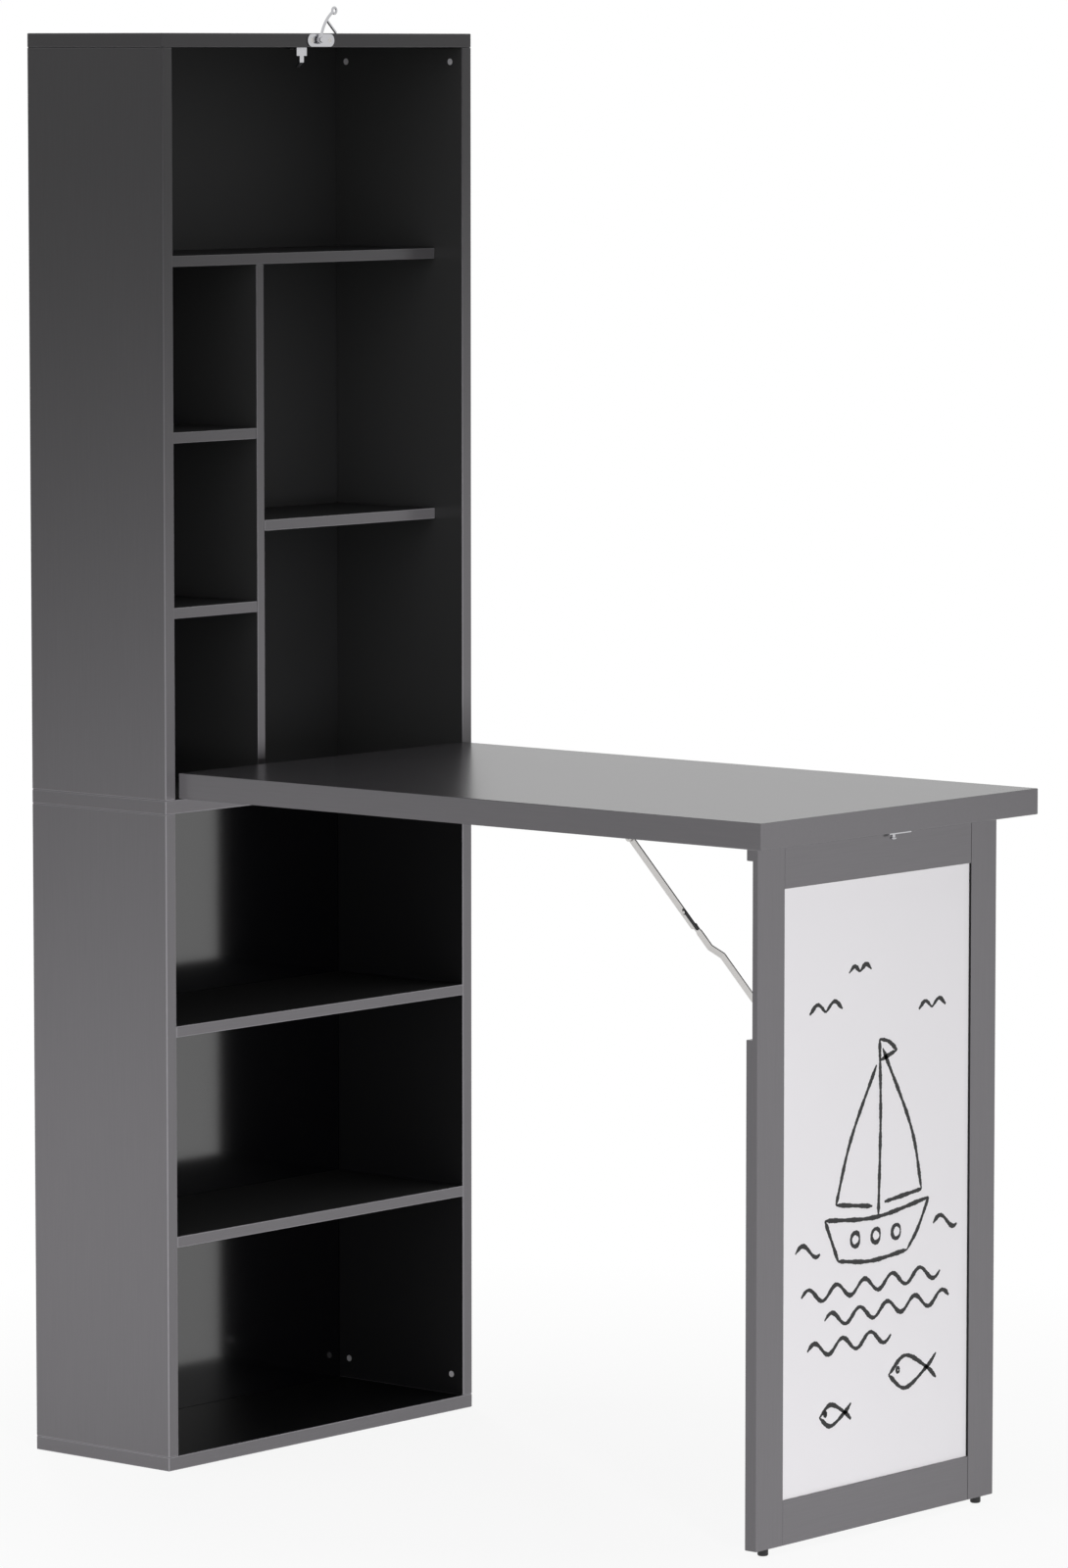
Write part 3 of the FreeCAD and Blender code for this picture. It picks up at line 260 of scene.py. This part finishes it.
def plated_metal(name, colour, rough_low, rough_high, streak):
    """Plated steel: bright, with polishing streaks of this width in millimetres, coarse enough to show."""
    material, tree, shader = finish_named(name)
    place = add(tree, "ShaderNodeTexCoord").outputs["Object"]
    drawn = add(tree, "ShaderNodeMapping", {"Vector": place, "Scale": STREAK_STRETCH}).outputs["Vector"]
    streaks = add(tree, "ShaderNodeTexNoise", {"Vector": drawn, "Scale": per_mm(streak), "Detail": 3.0})
    gloss = {"Value": streaks.outputs["Fac"], "To Min": rough_low, "To Max": rough_high}
    rough = add(tree, "ShaderNodeMapRange", gloss)
    tree.links.new(rough.outputs["Result"], shader.inputs["Roughness"])
    shader.inputs["Base Color"].default_value = hex_linear(colour)
    shader.inputs["Metallic"].default_value = 1.0
    return material


def cast_zinc():
    """Die-cast zinc of the barrel nuts: a dull light metal, chalky from the mould."""
    material, tree, shader = finish_named("cast_zinc")
    place = add(tree, "ShaderNodeTexCoord").outputs["Object"]
    tint = two_tone(tree, place, CHALK_GRIT, "dddcde", "ebeaec", detail=3.0)[1]
    tree.links.new(tint, shader.inputs["Base Color"])
    shader.inputs["Metallic"].default_value = 1.0
    shader.inputs["Roughness"].default_value = 0.95
    return material


def black_plastic():
    """Moulded nylon: near black, matt, with a fine spark-eroded grain."""
    material, tree, shader = finish_named("black_plastic")
    place = add(tree, "ShaderNodeTexCoord").outputs["Object"]
    tree.links.new(pressed_texture(tree, place, SPARK_GRIT, SPARK_DEEP), shader.inputs["Normal"])
    shader.inputs["Base Color"].default_value = hex_linear("141415")
    shader.inputs["Roughness"].default_value = 0.5
    return material


def beech():
    """Turned beech dowel: pale, with short darker flecks along the grain."""
    material, tree, shader = finish_named("beech")
    place = add(tree, "ShaderNodeTexCoord").outputs["Object"]
    drawn = add(tree, "ShaderNodeMapping", {"Vector": place, "Scale": FLECK_STRETCH}).outputs["Vector"]
    tint = two_tone(tree, drawn, FLECK_WIDE, "c9a47a", "dfc29a")[1]
    tree.links.new(tint, shader.inputs["Base Color"])
    shader.inputs["Roughness"].default_value = 0.6
    return material


def marker_ink():
    """Dry marker ink: flat black, a little greyer where the felt skipped."""
    material, tree, shader = finish_named("marker_ink")
    place = add(tree, "ShaderNodeTexCoord").outputs["Object"]
    tint = two_tone(tree, place, SKIP_WIDE, "0b0b0c", "151516")[1]
    tree.links.new(tint, shader.inputs["Base Color"])
    shader.inputs["Roughness"].default_value = 0.55
    return material


# Finish of each material slot; grey melamine is made board by board, because its grain has a direction.
FINISHES = {
    # The lower back panel, near black under the desk: painted deep shade.
    "dark_hardboard": hardboard("hardboard_deep_shade_painted", "020203", "030304", 0.11, 1.0),
    "white_laminate": white_laminate(),
    "chrome": plated_metal("chrome", "bdbdc0", 0.08, 0.16, 1.5),
    "zinc_steel": plated_metal("zinc_steel", "c9c7c5", 0.24, 0.36, 0.8),
    "black_plastic": black_plastic(),
    "beech": beech(),
}
# Pieces whose finish differs from the rest of their slot. The upper back panel is a lighter painted shade
# than the lower one.
OWN_FINISH = {
    "upper_back_panel": hardboard("hardboard_shade_painted", "0e0e0f", "121213", 0.8, 0.3),
    "barrel_nuts": cast_zinc(),
}
INK = marker_ink()


@functools.cache
def board_finishes(along, painted_shade):
    """Face of a board whose grain runs along x, y or z, and a lighter colour for its softened edges, a
    painted highlight.
    """
    return (melamine(f"melamine_{along}_{painted_shade}", "626063", "686669", along, painted_shade),
            # The lighter edge colour is a painted highlight along the bevels.
            melamine(f"edge_highlight_{along}_{painted_shade}", "7e7c80", "848286", along, painted_shade))


# Width of the softened edges by slot, in millimetres. Round pieces keep the edges of their solids.
EDGE_ROUND = {
    "grey_melamine": 1.0,
    "white_laminate": 0.3,
    "chrome": 0.3,
    "zinc_steel": 0.2,
    "black_plastic": 0.3,
}
ROUND_PIECES = ("screws", "pins", "bolts", "nuts")
# Facets across a softened edge, and how strongly the large faces beside it keep their own shading.
EDGE_PARTS, FACE_WEIGHT = 2, 90
# A board's edge is softened if it is this long and sharp, and shading stops at edges over the crisp turn.
SHORTEST_EDGE, SHARP_TURN, CRISP_TURN = 9 * MM, math.radians(40), math.radians(60)
# Facets that are this nearly flat become one face, after points this close have become one.
FLAT_TURN, WELD_REACH = math.radians(0.5), 0.01 * MM


def mesh_group(name):
    """New group of geometry nodes and the mesh that enters it; the caller adds the output."""
    tree = bpy.data.node_groups.new(name, "GeometryNodeTree")
    for way in ("INPUT", "OUTPUT"):
        tree.interface.new_socket("Geometry", in_out=way, socket_type="NodeSocketGeometry")
    return tree, add(tree, "NodeGroupInput").outputs[0]


def outline_edges():
    """Node group that marks a board's long sharp edges, so that its drilled holes keep their rims."""
    tree, board = mesh_group("outline_edges")
    ends = add(tree, "GeometryNodeInputMeshEdgeVertices").outputs
    length = add(tree, "ShaderNodeVectorMath", {0: ends["Position 1"], 1: ends["Position 2"]},
                 operation="DISTANCE").outputs["Value"]
    turn = add(tree, "GeometryNodeInputMeshEdgeAngle").outputs["Unsigned Angle"]
    long = add(tree, "ShaderNodeMath", {0: length, 1: SHORTEST_EDGE}, operation="GREATER_THAN")
    sharp = add(tree, "ShaderNodeMath", {0: turn, 1: SHARP_TURN}, operation="GREATER_THAN")
    weight = add(tree, "ShaderNodeMath", {0: long.outputs[0], 1: sharp.outputs[0]}, operation="MULTIPLY")
    marked = add(tree, "GeometryNodeStoreNamedAttribute",
                 {"Geometry": board, "Name": "bevel_weight_edge", "Value": weight.outputs[0]},
                 data_type="FLOAT", domain="EDGE")
    add(tree, "NodeGroupOutput", {0: marked.outputs["Geometry"]})
    return tree


def crease_edges():
    """Node group that keeps the edges without a bevel crisp, so that shading does not run around them."""
    tree, piece = mesh_group("crease_edges")
    turn = add(tree, "GeometryNodeInputMeshEdgeAngle").outputs["Unsigned Angle"]
    crisp = add(tree, "ShaderNodeMath", {0: turn, 1: CRISP_TURN}, operation="GREATER_THAN").outputs[0]
    shaded = add(tree, "GeometryNodeSetShadeSmooth",
                 {"Geometry": piece, "Selection": crisp, "Shade Smooth": False}, domain="EDGE")
    add(tree, "NodeGroupOutput", {0: shaded.outputs["Geometry"]})
    return tree


OUTLINE_EDGES = outline_edges()
CREASE_EDGES = crease_edges()


def soften_edges(piece, width, board):
    """Breaks the sharp edges of a CAD piece, so that they catch the light, in its last finish; on a cabinet
    board that is a lighter colour, a painted highlight.
    """
    weld = piece.modifiers.new("weld", "WELD")
    weld.merge_threshold = WELD_REACH
    flat = piece.modifiers.new("flat", "DECIMATE")
    flat.decimate_type = "DISSOLVE"
    flat.angle_limit = FLAT_TURN
    if board:
        piece.modifiers.new("outline", "NODES").node_group = OUTLINE_EDGES
    bevel = piece.modifiers.new("edge", "BEVEL")
    bevel.width = width * MM
    bevel.segments = EDGE_PARTS
    bevel.limit_method = "WEIGHT" if board else "ANGLE"
    bevel.angle_limit = SHARP_TURN
    bevel.use_clamp_overlap = not board
    bevel.loop_slide = not board
    # On a cabinet board the last finish is the lighter edge colour, a painted highlight.
    bevel.material = len(piece.data.materials) - 1
    piece.modifiers.new("crease", "NODES").node_group = CREASE_EDGES
    shade = piece.modifiers.new("shade", "WEIGHTED_NORMAL")
    shade.weight = FACE_WEIGHT
    shade.keep_sharp = True


def dress_board(name, body):
    """Finishes of a melamine board: the face, and on the cabinet a lighter edge colour too, a painted
    highlight.
    """
    low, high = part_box(name)
    along = max(zip(high - low, "xyz"))[1]
    # Painted shade, darker in the lower compartments under the desk than in the upper ones.
    by_height = "upper" if low.z > cabinet_high.z / 2 else "lower"
    painted_shade = OWN_PAINTED_SHADE.get(name, by_height if body == "cabinet" else "")
    finishes = board_finishes(along, painted_shade)
    return finishes if body == "cabinet" else finishes[:1]


def dress_frame():
    """Gives every CAD piece its finish and its softened edges."""
    slots = {row["node"]: row["material_slot"] for row in frame["record"]["subparts"]}
    bodies = frame["record"]["behaviour"]["bodies"]
    body_of = {node: body for body, names in bodies.items() for node in names}
    for name, piece in nodes.items():
        slot = slots[name]
        board = slot == "grey_melamine"
        finishes = dress_board(name, body_of[name]) if board else [OWN_FINISH.get(name, FINISHES[slot])]
        piece.data.materials.clear()
        for finish in finishes:
            piece.data.materials.append(finish)
        if slot in EDGE_ROUND and not name.endswith(ROUND_PIECES):
            soften_edges(piece, EDGE_ROUND[slot], board)


def mesh_piece(name, mesh, finish, body):
    """Puts a finished bmesh in the scene as a piece that rides on a CAD body."""
    bmesh.ops.recalc_face_normals(mesh, faces=mesh.faces)
    data = bpy.data.meshes.new(name)
    mesh.to_mesh(data)
    mesh.free()
    piece = bpy.data.objects.new(name, data)
    piece.data.materials.append(finish)
    bpy.context.collection.objects.link(piece)
    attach(piece, body)


# Marker strokes, in millimetres: distance between their sections, width and thickness of the ink.
STROKE_STEP, INK_WIDE, INK_THICK = 1.6, 5.2, 0.12


def hand_line(points):
    """Smooth hand-drawn line through the points: a Catmull-Rom curve in short steps."""
    points = [Vector(point) for point in points]
    run = [points[0] * 2 - points[1]] + points + [points[-1] * 2 - points[-2]]
    line = []
    for a, b, c, d in zip(run, run[1:], run[2:], run[3:]):
        parts = max(2, round((c - b).length / STROKE_STEP))
        for part in range(parts):
            t = part / parts
            line.append(((2 * b) + (c - a) * t + (2 * a - 5 * b + 4 * c - d) * t * t
                         + (3 * b - a - 3 * c + d) * t ** 3) / 2)
    return line + [points[-1]]


def ring(u, v, radius, parts=10):
    """Closed round stroke."""
    return [(u + radius * math.cos(math.tau * n / parts), v + radius * math.sin(math.tau * n / parts))
            for n in range(parts + 1)]


def wave(u_from, u_to, v, height=7, length=46):
    """Row of water: a sine line."""
    count = int((u_to - u_from) / (length / 8))
    return [(u_from + n * length / 8, v + height * math.sin(math.tau * n / 8)) for n in range(count + 1)]


def fish(u, v, size):
    """Fish seen from the side: two bows that cross at the tail, and an eye."""
    bows = []
    for up in (1, -1):
        flank = (u - 0.3 * size, v + up * 0.42 * size)
        tail = (u + size, v - up * 0.32 * size)
        bows.append([(u - size, v), flank, (u + 0.6 * size, v), tail])
    return bows + [ring(u - 0.6 * size, v + 0.08 * size, 0.06 * size, 6)]


def gull(u, v, span):
    """Flying bird: two raised wings."""
    return [[(u - span, v), (u - 0.5 * span, v + 0.34 * span), (u, v)],
            [(u, v), (u + 0.55 * span, v + 0.38 * span), (u + 1.05 * span, v + 0.05 * span)]]


def boat_strokes():
    """Strokes of a sailing boat on the water, in millimetres right of and above the board's middle."""
    hull = [[(-84, -34), (-62, -78)],
            [(-62, -78), (-8, -84), (52, -80)],
            [(52, -80), (70, -60), (88, -30)],
            [(-84, -34), (0, -40), (88, -30)]]
    rig = [[(4, -38), (7, 60), (5, 142)],
           [(14, -26), (76, -20)],
           [(76, -20), (58, 46), (10, 132)],
           [(-6, -28), (-66, -20)],
           [(-66, -20), (-42, 44), (0, 116)],
           [(5, 142), (20, 138), (34, 128)],
           [(34, 128), (6, 120)]]
    ports = [ring(u, -59, 7) for u in (-34, 0, 34)]
    water = [wave(-132, -88, -62), wave(96, 138, -58), wave(-122, 112, -108), wave(-84, 128, -136),
             wave(-112, 30, -164)]
    birds = gull(-84, 178, 26) + gull(-28, 214, 18) + gull(92, 166, 22)
    return hull + rig + ports + water + birds + fish(62, -206, 40) + fish(-66, -234, 26)


def stroke_width(order, n, count):
    """Width of a stroke at its section n, in metres: the hand's pressure, a ragged rim and thin ends."""
    pressure = 0.86 + 0.14 * math.sin(0.3 * n + 1.7 * order)
    ragged = 1 + 0.1 * math.sin(2.4 * n + order) + 0.08 * math.sin(5.3 * n)
    lift = min(1, 0.45 + 0.14 * min(n, count - 1 - n))
    return INK_WIDE * MM * pressure * ragged * lift


def marker_sketch():
    """Marker drawing on the whiteboard: strokes of ink, each a thin raised ribbon on the white face."""
    middle = (window_low + window_high) / 2
    face, top = board_low.y, board_low.y - INK_THICK * MM
    mesh = bmesh.new()
    for order, points in enumerate(boat_strokes()):
        line = hand_line(points)
        sections = []
        for n, point in enumerate(line):
            along = (line[min(n + 1, len(line) - 1)] - line[max(n - 1, 0)]).normalized()
            half = Vector((-along.y, along.x)) * stroke_width(order, n, len(line)) / 2
            centre = point * MM + Vector((middle.x, middle.z))
            rim = ((centre - half, face), (centre - half, top), (centre + half, top), (centre + half, face))
            sections.append([mesh.verts.new((edge.x, depth, edge.y)) for edge, depth in rim])
        for one, two in zip(sections, sections[1:]):
            for side in range(4):
                mesh.faces.new((one[side], one[side - 1], two[side - 1], two[side]))
        mesh.faces.new(sections[0])
        mesh.faces.new(sections[-1][::-1])
    mesh_piece("marker_sketch", mesh, INK, "leg")


# Screws from the middle of their plates, and the plates' own thickness, as in the solids.
LATCH_SCREW, CATCH_SCREW, BRACKET_SCREW = 14 * MM, 12 * MM, 7 * MM
STOP_SCREW_SIDE, STOP_SCREW_BACK = 4 * MM, 10.8 * MM
PLATE_THICK, EAR_THICK = 1.5 * MM, 2 * MM
# Crowns of the screws, in millimetres: radius, the smaller one of the stop, height and half a slot's width.
CROWN_RADIUS, STOP_CROWN, CROWN_HIGH, HALF_SLOT = 2.6, 2.4, 0.3, 0.36
# Shares of the crown's radius and height: the quarters' reach, and the rim's shoulder and inner wall.
QUARTERS, SHOULDER, INNER_WALL, RIM_HIGH = 0.62, 0.82, 0.72, 0.8
RIM_PARTS, QUARTER_PARTS = 24, 6
# Corner of each quarter from the crown's middle: the diagonal of half a slot.
QUARTER_CORNER = 1.41 * HALF_SLOT


def cross_head(mesh, centre, outward, radius=CROWN_RADIUS):
    """Raised crown of a cross-recess screw: a rim and four quarters, with the recess open between them."""
    turn = outward.to_track_quat("Z", "Y").to_matrix()
    reach = QUARTERS * radius - HALF_SLOT

    def corner(u, v, height):
        return mesh.verts.new(centre + turn @ Vector((u, v, height)) * MM)

    for quarter in range(4):
        middle = math.tau * (quarter + 0.5) / 4
        u, v = QUARTER_CORNER * math.cos(middle), QUARTER_CORNER * math.sin(middle)
        spin = [math.tau * (quarter + step / QUARTER_PARTS) / 4 for step in range(QUARTER_PARTS + 1)]
        outline = [(u, v)] + [(u + reach * math.cos(a), v + reach * math.sin(a)) for a in spin]
        low = [corner(*point, 0) for point in outline]
        high = [corner(*point, CROWN_HIGH) for point in outline]
        for n in range(len(outline)):
            mesh.faces.new((low[n - 1], low[n], high[n], high[n - 1]))
        mesh.faces.new(high)
        mesh.faces.new(low[::-1])
    rim_high = RIM_HIGH * CROWN_HIGH
    profile = ((radius, 0), (SHOULDER * radius, rim_high), (INNER_WALL * radius, rim_high),
               (INNER_WALL * radius, 0))
    spin = [math.tau * n / RIM_PARTS for n in range(RIM_PARTS)]
    rim = [[corner(out * math.cos(a), out * math.sin(a), height) for a in spin] for out, height in profile]
    for one, two in zip(rim, rim[1:] + rim[:1]):
        for n in range(RIM_PARTS):
            mesh.faces.new((one[n - 1], one[n], two[n], two[n - 1]))


def screw_heads():
    """Cross-recess crowns on the screws that can be seen: latch, stop, catch and stay brackets."""
    front, down, back = Vector((0, -1, 0)), Vector((0, 0, -1)), Vector((0, 1, 0))
    on_cabinet, on_desk, on_leg = bmesh.new(), bmesh.new(), bmesh.new()
    latch_low, latch_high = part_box("latch_plate")
    stop_low, stop_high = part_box("desk_stop")
    catch_low, catch_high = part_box("catch_plate")
    latch_level = (latch_low.z + latch_high.z) / 2
    stop_back, stop_level = stop_low.y + STOP_SCREW_BACK, stop_high.z - PLATE_THICK
    catch_back = (catch_low.y + catch_high.y) / 2
    for sign in (-1, 1):
        cross_head(on_cabinet, Vector((sign * LATCH_SCREW, latch_low.y, latch_level)), front)
        cross_head(on_cabinet, Vector((sign * STOP_SCREW_SIDE, stop_back, stop_level)), down, STOP_CROWN)
        cross_head(on_desk, Vector((sign * CATCH_SCREW, catch_back, catch_low.z)), down)
    for side in ("left", "right"):
        desk_low, desk_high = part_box(f"stay_desk_bracket_{side}")
        desk_middle = (desk_low + desk_high) / 2
        leg_low, leg_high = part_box(f"stay_leg_bracket_{side}")
        leg_middle = (leg_low + leg_high) / 2
        # The leg bracket's ear stands on its inner edge, so the screws sit in the middle of the rest.
        leg_middle.x += EAR_THICK / 2 * (-1 if side == "left" else 1)
        for way in (-BRACKET_SCREW, BRACKET_SCREW):
            on_foot = Vector((desk_middle.x, desk_middle.y + way, desk_high.z - PLATE_THICK))
            on_stile = Vector((leg_middle.x, leg_low.y + PLATE_THICK, leg_middle.z + way))
            cross_head(on_desk, on_foot, down)
            cross_head(on_leg, on_stile, back)
    steel = FINISHES["zinc_steel"]
    mesh_piece("cabinet_screw_heads", on_cabinet, steel, "cabinet")
    mesh_piece("desk_screw_heads", on_desk, steel, "desk")
    mesh_piece("leg_screw_heads", on_leg, steel, "leg")


# Floor, in metres: its radius and middle, and where its fade to white starts and how white it is there.
FLOOR_RADIUS, FLOOR_MIDDLE = 1.7, (0, -0.4, 0)
FADE_START, FADE_END, FADE_LEAST = 0.4, 0.8 * FLOOR_RADIUS, 0.9
# Light of the white room on the desk, as a share of the white that the eye and reflections see.
AMBIENT = 0.05
# Lamps: place, aim and radius in metres, power in watts, cone in degrees and the faded share of the cone.
LAMPS = {
    "front_lamp": {"place": (-3.53, -5.9, 0.6), "aim": (0.02, -0.45, 0.38), "radius": 0.3, "power": 1680,
                   "cone": 16, "fade": 0.5},
    "side_lamp": {"place": (-2.0, 0.3, 0.1), "aim": (-0.25, 0.0, 0.1), "radius": 0.4, "power": 78,
                  "cone": 45, "fade": 1.0},
    "rear_lamp": {"place": (3.2, 4.2, 0.9), "aim": (0.0, -0.2, 0.75), "radius": 0.5, "power": 900,
                  "cone": 40, "fade": 1.0},
}
# Light from above: its strength in watts per square metre, and the angle that its source covers.
OVERHEAD_LEVEL, OVERHEAD_WIDE = 0.8, math.radians(50)


def background_rays(tree):
    """Socket that is 1 for the rays that show the background: to the eye, in gloss and through glass."""
    ray = add(tree, "ShaderNodeLightPath").outputs
    shown = ray["Is Camera Ray"]
    for kind in ("Is Glossy Ray", "Is Transmission Ray"):
        shown = add(tree, "ShaderNodeMath", {0: shown, 1: ray[kind]}, operation="MAXIMUM").outputs[0]
    return shown


def white_floor():
    """Pale floor that keeps the desk's soft shadow and fades to white away from it."""
    mesh = bmesh.new()
    bmesh.ops.create_circle(mesh, cap_ends=True, segments=64, radius=FLOOR_RADIUS)
    data = bpy.data.meshes.new("white_floor")
    mesh.to_mesh(data)
    mesh.free()
    floor = bpy.data.objects.new("white_floor", data)
    floor.location = FLOOR_MIDDLE
    bpy.context.collection.objects.link(floor)
    material, tree, shader = finish_named("white_floor")
    place = add(tree, "ShaderNodeTexCoord").outputs["Object"]
    far = add(tree, "ShaderNodeVectorMath", {0: place}, operation="LENGTH").outputs["Value"]
    fade = add(tree, "ShaderNodeMapRange", {"Value": far, "From Min": FADE_START, "From Max": FADE_END,
                                            "To Min": FADE_LEAST}).outputs["Result"]
    white = add(tree, "ShaderNodeMath", {0: fade, 1: background_rays(tree)}, operation="MULTIPLY").outputs[0]
    glow = add(tree, "ShaderNodeEmission", {"Color": WHITE, "Strength": 1.0}).outputs["Emission"]
    mix = add(tree, "ShaderNodeMixShader", {0: white, 1: shader.outputs["BSDF"], 2: glow})
    tree.links.new(mix.outputs["Shader"], tree.nodes["Material Output"].inputs["Surface"])
    shader.inputs["Base Color"].default_value = hex_linear("f4f4f4")
    shader.inputs["Roughness"].default_value = 0.9
    floor.data.materials.append(material)


def soft_lamp(name, place, aim, radius, power, cone, fade):
    """Soft round lamp with a cone in degrees and a faded rim; it does not show in reflections."""
    data = bpy.data.lights.new(name, "SPOT")
    data.shadow_soft_size = radius
    data.energy = power
    data.spot_size = math.radians(cone)
    data.spot_blend = fade
    lamp = bpy.data.objects.new(name, data)
    lamp.location = place
    lamp.rotation_euler = (Vector(aim) - Vector(place)).to_track_quat("-Z", "Y").to_euler()
    lamp.visible_camera = False
    lamp.visible_glossy = False
    bpy.context.collection.objects.link(lamp)


def studio():
    """Even white room: a faint ambient, lamps in front, low on the left and behind, and light from above."""
    world = bpy.data.worlds.new("white_room")
    bpy.context.scene.world = world
    world.use_nodes = True
    tree = world.node_tree
    shown = background_rays(tree)
    level = add(tree, "ShaderNodeMapRange", {"Value": shown, "To Min": AMBIENT, "To Max": 1.0})
    sky = tree.nodes["Background"]
    sky.inputs["Color"].default_value = WHITE
    tree.links.new(level.outputs["Result"], sky.inputs["Strength"])
    for name, lamp in LAMPS.items():
        soft_lamp(name, **lamp)
    overhead = bpy.data.lights.new("overhead", "SUN")
    overhead.energy = OVERHEAD_LEVEL
    overhead.angle = OVERHEAD_WIDE
    sun = bpy.data.objects.new("overhead", overhead)
    sun.visible_glossy = False
    bpy.context.collection.objects.link(sun)
    bpy.context.scene.view_settings.view_transform = "Standard"


# Camera of the photograph, solved from the desk's corners: place in metres, yaw and pitch in radians, and
# the lens in millimetres.
CAMERA_PLACE, CAMERA_YAW, CAMERA_PITCH = (-5.8254, -5.3485, 1.5010), 0.86635, -0.0999
LENS = 167.86


def photo_camera():
    """Camera at the photograph's place: turned right of the front, a little above the desk."""
    data = bpy.data.cameras.new("photo_camera")
    data.sensor_width = 36.0
    data.lens = LENS
    data.clip_end = 100
    camera = bpy.data.objects.new("photo_camera", data)
    camera.location = CAMERA_PLACE
    camera.rotation_euler = (math.pi / 2 + CAMERA_PITCH, 0, -CAMERA_YAW)
    bpy.context.collection.objects.link(camera)
    bpy.context.scene.camera = camera


dress_frame()
marker_sketch()
screw_heads()
white_floor()
studio()
photo_camera()
